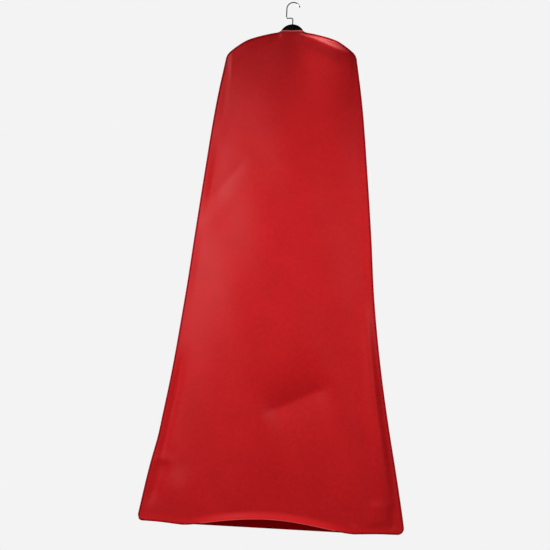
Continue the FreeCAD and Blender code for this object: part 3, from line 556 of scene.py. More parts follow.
def spunbond(name, dark, light, double_hem_and_highlight_red, gloss):
    """Dyed non-woven cloth: cloudy tone, welded dimples, a fuller red above the hem (doubled hem and
    painted highlight) and a painted pale highlight on sharp edges.
    """
    made, tree = material(name)
    place = add(tree, "ShaderNodeUVMap", uv_map="UVMap")
    clouds = add(tree, "ShaderNodeTexNoise", {"Vector": place.outputs["UV"], "Scale": 1 / CLOUD_SIZE,
                                              "Detail": 5.0, "Roughness": 0.6})
    patches = add(tree, "ShaderNodeTexNoise", {"Vector": place.outputs["UV"], "Scale": 1 / PATCH_SIZE,
                                               "Detail": 2.0})
    tone = add(tree, "ShaderNodeMix", {"Factor": 0.4, "A": clouds.outputs["Fac"],
                                       "B": patches.outputs["Fac"]}, data_type="FLOAT")
    dye = add(tree, "ShaderNodeValToRGB", {"Fac": tone.outputs["Result"]})
    dye.color_ramp.elements[0].position = 0.3
    dye.color_ramp.elements[0].color = colour(dark)
    dye.color_ramp.elements[1].position = 0.7
    dye.color_ramp.elements[1].color = colour(light)
    bonds = add(tree, "ShaderNodeTexVoronoi", {"Vector": place.outputs["UV"], "Scale": 1 / BOND_PITCH,
                                               "Randomness": 0.25})
    dimple = add(tree, "ShaderNodeMapRange", {"Value": bonds.outputs["Distance"],
                                              "From Min": 0.0, "From Max": 0.42})
    fibres = add(tree, "ShaderNodeTexNoise", {"Vector": place.outputs["UV"], "Scale": 1 / FILAMENT_SIZE,
                                              "Detail": 3.0})
    skin = add(tree, "ShaderNodeMix", {"Factor": 0.35, "A": dimple.outputs["Result"],
                                       "B": fibres.outputs["Fac"]}, data_type="FLOAT")
    relief = add(tree, "ShaderNodeBump", {"Height": skin.outputs["Result"], "Strength": 0.25,
                                          "Distance": 0.3 * MM})
    wax = add(tree, "ShaderNodeMapRange", {"Value": clouds.outputs["Fac"], "From Min": 0.3,
                                           "From Max": 0.7, "To Min": 0.5, "To Max": 0.54})
    # fuller red above the hem: partly the doubled hem, partly a painted highlight
    double_hem_and_highlight = add(tree, "ShaderNodeAttribute", attribute_name="double_hem_and_highlight")
    hem_band_colour = add(tree, "ShaderNodeMix", {0: double_hem_and_highlight.outputs["Fac"], 6: dye.outputs["Color"],
                                          7: colour(double_hem_and_highlight_red)}, data_type="RGBA")
    # painted highlight: pale pink where an edge catches the light
    painted_highlight = add(tree, "ShaderNodeAttribute", attribute_name="painted_highlight")
    highlighted = add(tree, "ShaderNodeMix", {0: painted_highlight.outputs["Fac"], 6: hem_band_colour.outputs[2],
                                        7: colour(EDGE_HIGHLIGHT_PINK)}, data_type="RGBA")
    cloth = add(tree, "ShaderNodeBsdfPrincipled",
                {"Base Color": highlighted.outputs[2], "Roughness": wax.outputs["Result"],
                 "Specular IOR Level": gloss, "IOR": 1.49, "Normal": relief.outputs["Normal"]})
    add(tree, "ShaderNodeOutputMaterial", {"Surface": cloth.outputs["BSDF"]})
    return made


red_cloth = spunbond("spunbond_polypropylene_red", "#b0090f", "#c11016", "#dc1218", 0.17)
# a darker, matt copy of the cloth: painted shade for the strip between the hems
shaded_cloth = spunbond("spunbond_polypropylene_painted_shade", "#9c0206", "#a80408", "#a80408", 0.0)
print("cloth materials ready")

# %% [markdown]
# ### Woven polyester tape
# The binding and the zip's tapes are narrow woven polyester, with fine ribs across the tape. One
# recipe serves both, in two reds. The ribs are about 0.5 mm apart and drawn 1.6 mm apart. Spun yarn
# swallows the light: the tape has no mirror gloss at all, and so stays a dark line round the cover.

# %% Woven tapes
RIB_PITCH = 1.6 * MM
WAVE_REPEAT = 0.314                  # how far apart the bands of a wave texture are at a scale of 1
YARN_SIZE = 2.38 * MM


def woven_tape(name, dark, light, roughness):
    """Narrow woven tape with ribs across its length."""
    made, tree = material(name)
    place = add(tree, "ShaderNodeUVMap", uv_map="UVMap")
    ribs = add(tree, "ShaderNodeTexWave",
               {"Vector": place.outputs["UV"], "Scale": WAVE_REPEAT / RIB_PITCH, "Distortion": 0.4,
                "Detail": 1.0}, bands_direction="Y")
    threads = add(tree, "ShaderNodeTexNoise", {"Vector": place.outputs["UV"], "Scale": 1 / YARN_SIZE,
                                               "Detail": 3.0})
    shade = add(tree, "ShaderNodeMix", {"Factor": 0.4, "A": ribs.outputs["Fac"],
                                        "B": threads.outputs["Fac"]}, data_type="FLOAT")
    dye = add(tree, "ShaderNodeValToRGB", {"Fac": shade.outputs["Result"]})
    dye.color_ramp.elements[0].position = 0.25
    dye.color_ramp.elements[0].color = colour(dark)
    dye.color_ramp.elements[1].position = 0.8
    dye.color_ramp.elements[1].color = colour(light)
    relief = add(tree, "ShaderNodeBump", {"Height": shade.outputs["Result"], "Strength": 0.4,
                                          "Distance": 0.25 * MM})
    tape = add(tree, "ShaderNodeBsdfPrincipled",
               {"Base Color": dye.outputs["Color"], "Roughness": roughness, "IOR": 1.53,
                "Specular IOR Level": 0.0, "Normal": relief.outputs["Normal"]})
    add(tree, "ShaderNodeOutputMaterial", {"Surface": tape.outputs["BSDF"]})
    return made


binding_tape = woven_tape("woven_polyester_binding", "#86060e", "#b40e1a", 0.7)
zip_tape_cloth = woven_tape("woven_polyester_zip_tape", "#7a0c13", "#96121a", 0.66)
print("tape materials ready")

# %% [markdown]
# ### Sewing thread and nylon coil
# Spun polyester thread is matt and slightly hairy, so it gets a rough, fuzzy surface. The zip's coil
# is a bent nylon filament, smooth and half glossy. Hairs and draw marks are some hundredths of a
# millimetre; their grain is drawn about 1 mm wide, or it wouldn't show at all.

# %% Thread and coil
GRAIN_SIZE = 1.11 * MM
GRAIN_ROUGHER = 0.06                 # how much the roughness goes up and down with the grain


def fine_filament(name, base, roughness, sheen, coat):
    """Thread or bent filament: one colour and a fine grain."""
    made, tree = material(name)
    place = add(tree, "ShaderNodeTexCoord")
    grain = add(tree, "ShaderNodeTexNoise", {"Vector": place.outputs["Object"], "Scale": 1 / GRAIN_SIZE,
                                             "Detail": 2.0})
    rough = add(tree, "ShaderNodeMapRange",
                {"Value": grain.outputs["Fac"], "From Min": 0.3, "From Max": 0.7,
                 "To Min": roughness - GRAIN_ROUGHER, "To Max": roughness + GRAIN_ROUGHER})
    relief = add(tree, "ShaderNodeBump", {"Height": grain.outputs["Fac"], "Strength": 0.15,
                                          "Distance": 0.1 * MM})
    filament = add(tree, "ShaderNodeBsdfPrincipled",
                   {"Base Color": colour(base), "Roughness": rough.outputs["Result"], "IOR": 1.53,
                    "Sheen Weight": sheen, "Coat Weight": coat, "Normal": relief.outputs["Normal"]})
    add(tree, "ShaderNodeOutputMaterial", {"Surface": filament.outputs["BSDF"]})
    return made


thread = fine_filament("spun_polyester_thread", "#8a1018", 0.75, 0.3, 0.0)
nylon_coil = fine_filament("nylon_coil", "#7d0d14", 0.38, 0.0, 0.1)
print("thread and coil ready")

# %% [markdown]
# ### Moulded polypropylene, black
# The hanger is injection moulded. Its skin copies the mould: nearly smooth, with a faint orange
# peel some 4 mm from hollow to hollow, and it wears to a slightly greyer, duller tone in patches of
# a thumb's width, where it is handled.

# %% Black moulded plastic
PEEL_SIZE = 3.85 * MM
HANDLED_SIZE = 28.6 * MM

black_plastic, tree = material("moulded_polypropylene_black")
place = add(tree, "ShaderNodeTexCoord")
peel = add(tree, "ShaderNodeTexNoise", {"Vector": place.outputs["Object"], "Scale": 1 / PEEL_SIZE,
                                        "Detail": 2.0})
handled = add(tree, "ShaderNodeTexNoise", {"Vector": place.outputs["Object"], "Scale": 1 / HANDLED_SIZE,
                                           "Detail": 4.0})
tone = add(tree, "ShaderNodeValToRGB", {"Fac": handled.outputs["Fac"]})
tone.color_ramp.elements[0].position = 0.35
tone.color_ramp.elements[0].color = colour("#020102")
tone.color_ramp.elements[1].position = 0.75
tone.color_ramp.elements[1].color = colour("#070506")
rough = add(tree, "ShaderNodeMapRange", {"Value": handled.outputs["Fac"], "From Min": 0.3,
                                         "From Max": 0.7, "To Min": 0.34, "To Max": 0.5})
relief = add(tree, "ShaderNodeBump", {"Height": peel.outputs["Fac"], "Strength": 0.2,
                                      "Distance": 0.15 * MM})
moulded = add(tree, "ShaderNodeBsdfPrincipled",
              {"Base Color": tone.outputs["Color"], "Roughness": rough.outputs["Result"], "IOR": 1.49,
               "Specular IOR Level": 0.15, "Normal": relief.outputs["Normal"]})
add(tree, "ShaderNodeOutputMaterial", {"Surface": moulded.outputs["BSDF"]})
print("nodes in the black plastic:", len(tree.nodes))

# %% [markdown]
# ### Metals
# The hook is steel wire with bright chrome: nearly a mirror, clouded here and there by handling.
# The washer is zinc plated, greyer and softer, with the fine spangle of the plating.

# %% Plated steel

def plated(name, base, low, high, marks_size):
    """Plated steel whose gloss changes with the marks on it."""
    made, tree = material(name)
    place = add(tree, "ShaderNodeTexCoord")
    marks = add(tree, "ShaderNodeTexNoise", {"Vector": place.outputs["Object"], "Scale": 1 / marks_size,
                                             "Detail": 4.0, "Roughness": 0.65})
    rough = add(tree, "ShaderNodeMapRange", {"Value": marks.outputs["Fac"], "From Min": 0.35,
                                             "From Max": 0.7, "To Min": low, "To Max": high})
    relief = add(tree, "ShaderNodeBump", {"Height": marks.outputs["Fac"], "Strength": 0.06,
                                          "Distance": 0.05 * MM})
    metal = add(tree, "ShaderNodeBsdfPrincipled",
                {"Base Color": colour(base), "Metallic": 1.0, "Roughness": rough.outputs["Result"],
                 "Normal": relief.outputs["Normal"]})
    add(tree, "ShaderNodeOutputMaterial", {"Surface": metal.outputs["BSDF"]})
    return made


chrome = plated("chromed_steel_wire", "#85888d", 0.12, 0.22, 8.33 * MM)
zinc = plated("zinc_plated_steel", "#9da1a6", 0.3, 0.48, 2 * MM)
print("plated metals ready")

# %% [markdown]
# ### Lacquered zinc
# The slider, its tab and the stops are die-cast zinc with a baked dark red lacquer, so they aren't
# metallic to the eye but have a clear gloss over a slightly grainy casting. Pointiness finds the
# edges, where the lacquer wears thin and looks paler. It needs no painted mask and follows the mesh.

# %% Lacquered zinc and the hard parts
CAST_SIZE = 1.67 * MM

lacquered, tree = material("lacquered_die_cast_zinc")
place = add(tree, "ShaderNodeTexCoord")
cast = add(tree, "ShaderNodeTexNoise", {"Vector": place.outputs["Object"], "Scale": 1 / CAST_SIZE,
                                        "Detail": 3.0})
edges = add(tree, "ShaderNodeNewGeometry")
worn = add(tree, "ShaderNodeMapRange", {"Value": edges.outputs["Pointiness"], "From Min": 0.52,
                                        "From Max": 0.6})
lacquer = add(tree, "ShaderNodeMix", {0: worn.outputs["Result"], 6: colour("#7a0d14"),
                                      7: colour("#a8484a")}, data_type="RGBA")
relief = add(tree, "ShaderNodeBump", {"Height": cast.outputs["Fac"], "Strength": 0.1,
                                      "Distance": 0.1 * MM})
enamel = add(tree, "ShaderNodeBsdfPrincipled",
             {"Base Color": lacquer.outputs[2], "Roughness": 0.34, "IOR": 1.5, "Coat Weight": 0.5,
              "Coat Roughness": 0.12, "Normal": relief.outputs["Normal"]})
add(tree, "ShaderNodeOutputMaterial", {"Surface": enamel.outputs["BSDF"]})

HARD_FINISHES = {"hook": chrome, "hook_washer": zinc, "hanger_body": black_plastic,
                 "zip_slider": lacquered, "zip_pull_tab": lacquered, "zip_bottom_stop": lacquered,
                 "zip_top_stop_left": lacquered, "zip_top_stop_right": lacquered}
for node_name, finish in HARD_FINISHES.items():
    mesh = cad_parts[node_name].data
    mesh.materials.clear()
    mesh.materials.append(finish)
print("hard parts finished:", len(HARD_FINISHES))

# %% [markdown]
# ## The panels
# A panel is a grid: columns from the middle (or the zip) to the side edge, rows from the shoulder
# line to the hem. Near the top the rows follow the shoulder, further down they level out. Columns
# and rows crowd together where the cloth turns quickly: at the neck, the side edges and the hem.

# %% Panel grids
SHOULDER_FADE = 420 * MM             # the rows level out over this height
HEM_LIFT_RUN = 260 * MM              # and take the hem's shape over this one
TOP_ROWS = 30 * MM                   # fine rows where the shoulder seam stands up


def spread_out(count, crowd_start, crowd_end):
    """Numbers from 0 to 1 that crowd towards the ends by the given amounts."""
    t = np.linspace(0, 1, count)
    start = t ** (1 + crowd_start)
    end = 1 - (1 - t) ** (1 + crowd_end)
    return start * (1 - t) + end * t


def panel_places(share, row, hand, start):
    """Where the columns and rows of a half panel cross, as x and height below the neck."""
    fade = 1 - eased(row / SHOULDER_FADE)
    edge_down = row + SHOULDER_FALL * fade
    reach = half_width(edge_down, hand)
    x = start + (reach - start) * share
    lift = hem_height(x) * eased((row - LENGTH + HEM_LIFT_RUN) / HEM_LIFT_RUN)
    down = row + fade * SHOULDER_FALL * fall(x / reach) - lift
    x, down = rounded(x, down)
    return hand * x, down


def half_panel(hand, columns, rows, start):
    """x and height of a half panel's grid, from its middle or zip edge outwards."""
    share, row = np.meshgrid(columns, rows)
    return panel_places(share, row, hand, start)


def on_panel(x, down, zipped, lift=0.0):
    """Points of a panel in the frame's metres, or of what lies on it at some lift."""
    side = 1 if zipped else -1
    return np.stack([x, side * (outside(x, down, zipped) + lift), NECK_Z - down], axis=-1)


ROWS = np.concatenate([np.linspace(0, TOP_ROWS, 13)[:-1],
                       TOP_ROWS + (LENGTH - TOP_ROWS) * spread_out(238, 0.25, 0.35)])
BACK_COLUMNS = spread_out(62, 0.0, 0.6)
FRONT_COLUMNS = spread_out(66, 0.7, 0.6)
print("rows:", len(ROWS), "columns of a half:", len(BACK_COLUMNS), "and", len(FRONT_COLUMNS))

# %% [markdown]
# The plain back is one piece of cloth, the zip side two halves with the zip between them. The back also
# carries two numbers per vertex for its material: a fuller red above the hem, partly where the turned-up
# hem lies double and partly a painted highlight where the arch turns up, and a painted pale highlight
# along the hem's edge under the arch. Numbers on the mesh follow the hem's arch by themselves, which a
# pattern in space wouldn't.

# %% Back and zipped panels
# the fuller red band above the hem is partly the doubled hem and partly a painted highlight; the hem's
# edge gets a painted pale highlight
HEM_TURNED_UP = 32 * MM
HEM_BAND_OUTSIDE_ARCH = 0.4                # how much of the fuller red shows outside the arch
HEM_HIGHLIGHT = 1 * MM
HEM_HIGHLIGHT_FADE = 2.5 * MM
HEM_HIGHLIGHT_SHARE = 0.6
ARCH_STARTS = 0.35                   # the share of the arch's height from which the hem counts as arched


def arched(x):
    """0 where the hem runs straight and 1 under its arch."""
    return eased(hem_rise(x) / HEM_ARCH / ARCH_STARTS)


x_left, down_left = half_panel(-1, BACK_COLUMNS, ROWS, 0.0)
x_right, down_right = half_panel(1, BACK_COLUMNS, ROWS, 0.0)
x_back = np.concatenate([x_left[:, :0:-1], x_right], axis=1)
down_back = np.concatenate([down_left[:, :0:-1], down_right], axis=1)
back_grid = on_panel(x_back, down_back, False)
cloth_back = sheet_mesh("cloth_back", back_grid, np.stack([x_back, down_back], -1), (0, -1, 0),
                        red_cloth)
above_hem = LENGTH - down_back - hem_height(x_back)
in_arch = arched(x_back)
# fuller red: partly the doubled hem, partly painted highlight, strongest under the arch
fuller_red = HEM_BAND_OUTSIDE_ARCH + (1 - HEM_BAND_OUTSIDE_ARCH) * in_arch
double_hem_and_highlight_share = (1 - eased(above_hem / HEM_TURNED_UP)) * fuller_red
# painted pale highlight along the hem's edge under the arch
hem_edge_highlight = (1 - eased((above_hem - HEM_HIGHLIGHT) / HEM_HIGHLIGHT_FADE)) * in_arch * HEM_HIGHLIGHT_SHARE
store(cloth_back, "double_hem_and_highlight", [double_hem_and_highlight_share, double_hem_and_highlight_share])
store(cloth_back, "painted_highlight", [hem_edge_highlight, hem_edge_highlight])

cloth_front = {}
for hand, side in SIDES.items():
    x_front, down_front = half_panel(hand, FRONT_COLUMNS, ROWS, ZIP_GAP_HALF)
    grid = on_panel(x_front, down_front, True)
    cloth_front[side] = sheet_mesh("cloth_front_" + side, grid, np.stack([x_front, down_front], -1),
                                   (0, 1, 0), red_cloth)
print("back panel:", len(cloth_back.data.polygons), "faces")

# %% [markdown]
# ## Side and bottom gussets
# Between the two panels' side edges runs a wedge of cloth that folds inwards like an accordion's
# pleat when the bag is empty. It is nothing under the shoulder and widest at the hem, where it turns
# shallow again to meet the bottom. The strip between the hems hangs as a shallow belly in the middle,
# where nothing holds it up, and folds inwards at the corners. Both are sheets again, drawn across
# the gap between the panels.

# %% Gussets
GUSSET_START = 0.001                 # right under the shoulder's corner, as a share of the side
GUSSET_HALF = 70 * MM                # half the wedge's width at the hem, laid flat
GUSSET_INSET = 1 * MM                # its edges lie this far inside the panels' edges
LEAST_PLEAT = 1 * MM
PLEAT_SHARP = 1.4                    # 1 is a straight crease, 2 a round one
PLEAT_WANDERS = 0.12                 # the crease isn't straight: it swings by this share,
PLEAT_WAVES = 21                     # this fast on its way down
CORNER_FOLD = 12 * MM
CORNER_RUN = 190 * MM
BELLY_PAST_ROUND = 14 * MM           # the bottom strip runs this far into the corners' rounds
BELLY_ROUND = 1.6
BELLY_SLACK = 1.2                    # cut wider than the gap by this share


def side_pleat(hand):
    """The pleated wedge of one side."""
    rows = np.linspace(SHOULDER_FALL + SIDE_LENGTH * GUSSET_START, corner_round()[1], 150)
    t, down = np.meshgrid(np.linspace(-1, 1, 15), rows)
    half = GUSSET_HALF * (down - SHOULDER_FALL) / SIDE_LENGTH
    gap = side_depth(down) - CLOTH_T
    deep = np.sqrt(np.maximum(half ** 2 - gap ** 2, LEAST_PLEAT ** 2))
    shallow = 1 - eased((LENGTH - down) / CORNER_RUN)
    deep = np.where(deep > CORNER_FOLD, deep + (CORNER_FOLD - deep) * shallow, deep)
    wander = 1 + PLEAT_WANDERS * np.sin(PLEAT_WAVES * down + hand)
    crease = deep * (1 - np.abs(t) ** PLEAT_SHARP) * wander
    x = half_width(down, hand) - GUSSET_INSET - crease
    grid = np.stack([hand * x, gap * t, NECK_Z - down], axis=-1)
    flat = np.stack([half * t, down], axis=-1)
    return sheet_mesh("pleat_" + SIDES[hand], grid, flat, (hand, 0, 0), red_cloth)


def bottom_belly():
    """The strip between the two hems."""
    middle_x = corner_round()[0]
    reach = middle_x + BELLY_PAST_ROUND
    t, x = np.meshgrid(np.linspace(-1, 1, 21), np.linspace(-reach, reach, 150))
    into_round = np.clip((np.abs(x) - middle_x) / HEM_CORNER_R, 0, 1)
    lift = HEM_CORNER_R * (1 - np.sqrt(1 - into_round ** 2))
    edge = cloth_depth(x, LENGTH - hem_height(x) - GUSSET_INSET, False) - CLOTH_T
    near_corner = eased((np.abs(x) - HEM_ARCH_HALF) / (HEM_HALF - HEM_ARCH_HALF))
    belly = hem_rise(x) - CORNER_FOLD * near_corner
    z = HEM_Z + hem_height(x) + lift + GUSSET_INSET - belly * (1 - np.abs(t) ** BELLY_ROUND)
    grid = np.stack([x, edge * t, z], axis=-1)
    flat = np.stack([x, edge * t * BELLY_SLACK], axis=-1)
    return sheet_mesh("cloth_bottom", grid, flat, (0, 0, -1), shaded_cloth)


pleats = {side: side_pleat(hand) for hand, side in SIDES.items()}
cloth_bottom = bottom_belly()
print("faces of a pleat:", len(pleats["left"].data.polygons))

# %% [markdown]
# ## Bindings
# A binding is a tape folded lengthways over the raw edge and sewn through. Its profile is drawn once,
# in millimetres outwards from the edge and outwards from the cloth, and carried round the outline.
# Its legs lie on the cloth wherever that goes, so it follows every fold near the edge. Under the
# back's arched hem the tape is rolled in, and only the cloth's own folded edge shows.

# %% Tape profile and outline
TAPE_LEG = 5.0
TAPE_PROFILE = [(-TAPE_LEG, 0.05), (-TAPE_LEG, 0.55), (-3.6, 0.95), (-1.8, 0.85), (0.0, 0.8), (0.9, 0.35),
                (1.25, -0.6), (0.9, -1.5), (0.0, -2.0), (-2.5, -2.0), (-TAPE_LEG, -1.75),
                (-TAPE_LEG, -1.3), (-0.2, -1.3), (0.2, -0.6), (-0.2, 0.05)]
TAPE_STARTS = 4 * MM                 # below the shoulder's corner
STEP = 6 * MM                        # between two rings of the tape on the long sides
FINE_STEP = 3 * MM                   # and round the corners
CORNER_STEPS = 10


def outline(hand):
    """Points down one side, round the corner and along the hem to the middle: x, height below."""
    rows = np.arange(TAPE_STARTS, corner_round()[1], STEP)
    x_side, down_side = panel_places(np.ones_like(rows), rows, hand, 0.0)
    last = np.linspace(rows[-1] + FINE_STEP, LENGTH, 12)
    x_low, down_low = panel_places(np.ones_like(last), last, hand, 0.0)
    near_corner = 1 - np.arange(1, CORNER_STEPS) * FINE_STEP / HEM_HALF
    shares = np.concatenate([near_corner, np.linspace(0.93, 0, 72)])
    x_hem, down_hem = panel_places(shares, np.full_like(shares, LENGTH), hand, 0.0)
    return np.concatenate([x_side, x_low, x_hem]), np.concatenate([down_side, down_low, down_hem])


def outwards_of(x, down):
    """Unit directions away from the cloth, in the plane of the panel, for each point of a path."""
    dx, dz = np.gradient(x), np.gradient(-down)
    size = np.hypot(dx, dz) + TINY
    return -dz / size, dx / size


def shoulder_edge(x):
    """An edge along the shoulder line: x, height below the neck and the direction outwards."""
    down = shoulder_down(x)
    return (x, down) + outwards_of(x, down)


print("points of one outline:", len(outline(1)[0]))

# %% [markdown]
# Where a needle goes through a tape every few millimetres, it draws the tape down and the tape swells
# a little between. A wave of under two tenths of a millimetre on the tape's face is enough for that.

# %% Tapes round the panels
PUCKER_PITCH = 9 * MM
TUCK_IN = 0.8 * MM                   # rolled in, the tape's fold lies this far behind the cloth's edge,
TUCK_SHORTER = 0.7                   # its outer leg loses this share
TUCK_UNDER = 0.25 * MM               # and lies this far under the cloth's face
TAPE_PUCKER = 0.12                   # as a share of how far the tape stands off the cloth


def puckers(along):
    """Swings between -1 and 1 once for each pucker along a tape."""
    return np.sin(along / PUCKER_PITCH * 2 * math.pi)[:, None]


def tucked(x, down, zipped):
    """How far the tape is rolled in under the cloth's edge: 1 under the back's arch, 0 elsewhere."""
    if zipped:
        return 0 * x
    return np.where(down > LENGTH / 2, arched(x), 0)


def tape_rings(edge, profile, zipped, pucker):
    """One ring of the profile for each point of a panel's edge."""
    x, down, out_x, out_z = edge
    side = 1 if zipped else -1
    along = run_of(x, down)
    o, n = np.array(profile).T * MM
    under = tucked(x, down, zipped)[:, None]
    o = o * (1 - TUCK_SHORTER * under * (n > 0)) - TUCK_IN * under * (o > 0)
    n = np.where(n > 0, n * (1 - under) - TUCK_UNDER * under, n)
    px = x[:, None] + out_x[:, None] * o
    pz = -down[:, None] + out_z[:, None] * o
    inner = np.minimum(o, 0)
    lie = outside(x[:, None] + out_x[:, None] * inner, down[:, None] - out_z[:, None] * inner, zipped)
    y = side * (lie + n * (1 + pucker * puckers(along) * (n > 0)))
    return np.stack([px, y, NECK_Z + pz], axis=-1), along


def panel_tape(zipped):
    """The binding of one panel, and the edge that it runs on."""
    name = "tape_front" if zipped else "tape_back"
    x_r, down_r = outline(1)
    x_l, down_l = outline(-1)
    x = np.concatenate([x_r, x_l[::-1][1:]])
    down = np.concatenate([down_r, down_l[::-1][1:]])
    edge = (x, down) + outwards_of(x, down)
    rings, along = tape_rings(edge, TAPE_PROFILE, zipped, TAPE_PUCKER)
    return swept_mesh(name, rings, along, binding_tape), edge


tape_back, back_edge = panel_tape(False)
tape_front, front_edge = panel_tape(True)
print("tape length:", round(float(run_of(*back_edge[:2])[-1]), 3), "m")

# %% [markdown]
# The shoulders are closed by one tape over both panels. Its profile is drawn for panels that lie
# together, and where they part over an arm or at the neck it opens with them.

# %% Shoulder tapes
SHOULDER_PROFILE = [(-6, 1.9), (-6, 2.35), (-4.5, 2.75), (-2, 2.65), (0, 2.5), (0.9, 1.6), (1.2, 0.0),
                    (0.9, -1.6), (0, -2.5), (-2, -2.65), (-4.5, -2.75), (-6, -2.35), (-6, -1.9),
                    (-0.4, -1.9), (-0.1, 0.0), (-0.4, 1.9)]
SHOULDER_TAPE_SHORT = 1.5 * MM       # it ends this far before the shoulder's corner
SHOULDER_PUCKER = 0.15 * MM
TAPE_FACES_FROM = 2 * MM             # points further than this from the middle plane are on its faces


def shoulder_tape(hand):
    """The tape over one shoulder seam."""
    length = SHOULDER_HALF - SHOULDER_TAPE_SHORT - NECK_OPEN_HALF
    x, down, out_x, out_z = shoulder_edge(NECK_OPEN_HALF + length * spread_out(80, 0.3, 0.6))
    along = run_of(x, down)
    o, n = np.array(SHOULDER_PROFILE).T * MM
    pucker = SHOULDER_PUCKER * puckers(along) * np.sign(n) * (np.abs(n) > TAPE_FACES_FROM)
    half_gap = cloth_depth(x, down, False)[:, None]
    wide = np.maximum(np.abs(n), SEAM_HALF) - SEAM_HALF + half_gap * np.minimum(np.abs(n) / SEAM_HALF, 1)
    px = hand * (x[:, None] + out_x[:, None] * o)
    pz = NECK_Z - down[:, None] + out_z[:, None] * o
    rings = np.stack([px, np.sign(n) * wide + pucker, pz], axis=-1)
    return swept_mesh("tape_shoulder_" + SIDES[hand], rings, along, binding_tape)


tape_shoulder = {side: shoulder_tape(hand) for hand, side in SIDES.items()}
print("shoulder tape vertices:", len(tape_shoulder["left"].data.vertices))

# %% [markdown]
# The neck's raw edges are turned outwards and sewn down as a soft roll, in the cover's own cloth.
# That is the same sweep with another profile. A pale highlight is painted on the top of the roll.

# %% Neck folds
ROLL_FOOT = -4.9                     # the profile's point where the roll meets its sewn flap
# how strongly the pale highlight is painted on the roll's top
ROLL_HIGHLIGHT = 0.8
ROLL_PUCKER = 0.1
NECK_PROFILE = [(-9.2, 0.05), (-9.2, 0.3), (-8.3, 0.75), (-6.2, 0.8), (ROLL_FOOT, 0.3), (-3.8, 1.1),
                (-2.2, 1.7), (-0.6, 1.7), (0.6, 1.0), (1.1, -0.2), (0.8, -1.6), (-0.4, -2.2),
                (-4.0, -2.1), (-9.0, -1.9), (-9.0, -1.4), (-0.4, -1.35), (0.1, -0.6), (-0.3, 0.05)]


def neck_fold(zipped):
    """The turned and sewn edge of one panel at the neck."""
    name = "fold_neck_front" if zipped else "fold_neck_back"
    edge = shoulder_edge(np.linspace(-NECK_OPEN_HALF, NECK_OPEN_HALF, 90))
    rings, along = tape_rings(edge, NECK_PROFILE, zipped, ROLL_PUCKER)
    made = swept_mesh(name, rings, along, red_cloth)
    # painted pale highlight on the top of the roll
    at_top = np.array([o > ROLL_FOOT and n > 0 for o, n in NECK_PROFILE]) * ROLL_HIGHLIGHT
    store(made, "painted_highlight", np.tile(at_top, len(rings)))
    return made


neck_folds = [neck_fold(False), neck_fold(True)]
print("neck fold vertices:", len(neck_folds[0].data.vertices))

# %% [markdown]
# ## The zip
# Two woven tapes lie under the front halves' edges. Each carries a nylon coil: a filament wound into
# a row of loops whose heads hook into the other side's. The tapes are sheets; the loops repeat, so
# they are left to Geometry Nodes below.
# Everything on the zip is placed along one straight line, from the neck to just above the hem. It
# leans outwards on its way down, as the cover opens towards the hem.

# %% Zip line and its tapes
TILT = math.atan((HEM_DEPTH - NECK_DEPTH) / LENGTH)
ZIP_DOWN = np.array([0, math.sin(TILT), -math.cos(TILT)])
ZIP_OUT = np.array([0, math.cos(TILT), math.sin(TILT)])
ZIP_UNDER = 0.4 * MM                 # between the cloth's inside and the tapes' face
TAPE_FACE = np.array([0, NECK_DEPTH - CLOTH_T - ZIP_UNDER, NECK_Z])
TAPE_TOP = 2.4 * MM
TAPE_LOW = (TAPE_FACE[2] - tape_low.z) / math.cos(TILT) - 1 * MM
ZIP_TAPE_T = 0.6 * MM
ZIP_TAPE_COLUMNS = np.array([0.8, 2.0, 4.0, 6.5, 9.0, 11.5, 13.5, 14.8]) * MM
COIL_SEAT = 5 * MM                   # the tape is stiff to here, beside the coil, and waves beyond
TAPE_WAVE = 0.12 * MM
TAPE_SUNK = 0.05 * MM
TAPE_WAVES = 61                      # how fast the tape waves on its way down


def on_zip(x, out, down):
    """A point from its place across the zip, out of its tapes' face and down its line."""
    return (np.multiply.outer(x, [1, 0, 0]) + np.multiply.outer(out, ZIP_OUT)
            + np.multiply.outer(down, ZIP_DOWN) + TAPE_FACE)


def zip_tape(hand):
    """The woven tape of one side of the zip."""
    x, down = np.meshgrid(ZIP_TAPE_COLUMNS * hand, np.linspace(TAPE_TOP, TAPE_LOW, 180))
    wave = TAPE_WAVE * (1 + np.sin(down * TAPE_WAVES + 2 * hand)) * (np.abs(x) > COIL_SEAT)
    grid = on_zip(x, -TAPE_SUNK - wave, down)
    return sheet_mesh("zip_tape_woven_" + SIDES[hand], grid, np.stack([x, down], -1), (0, 1, 0),
                      zip_tape_cloth, thickness=ZIP_TAPE_T)


zip_tapes = {side: zip_tape(hand) for hand, side in SIDES.items()}
print("zip tape length:", round(TAPE_LOW - TAPE_TOP, 4), "m")

# %% [markdown]
# ## What repeats: teeth and stitches
# One node group does both. It turns the edges of a mesh into a curve, cuts the curve into equal
# steps, puts a copy of a small shape on every step and turns the copy so that its Z axis lies along
# the curve. The copies are made real and given their material, and the result is kept as a plain
# mesh, because an exported part can't carry a modifier.

# %% Node group that repeats a shape along a path

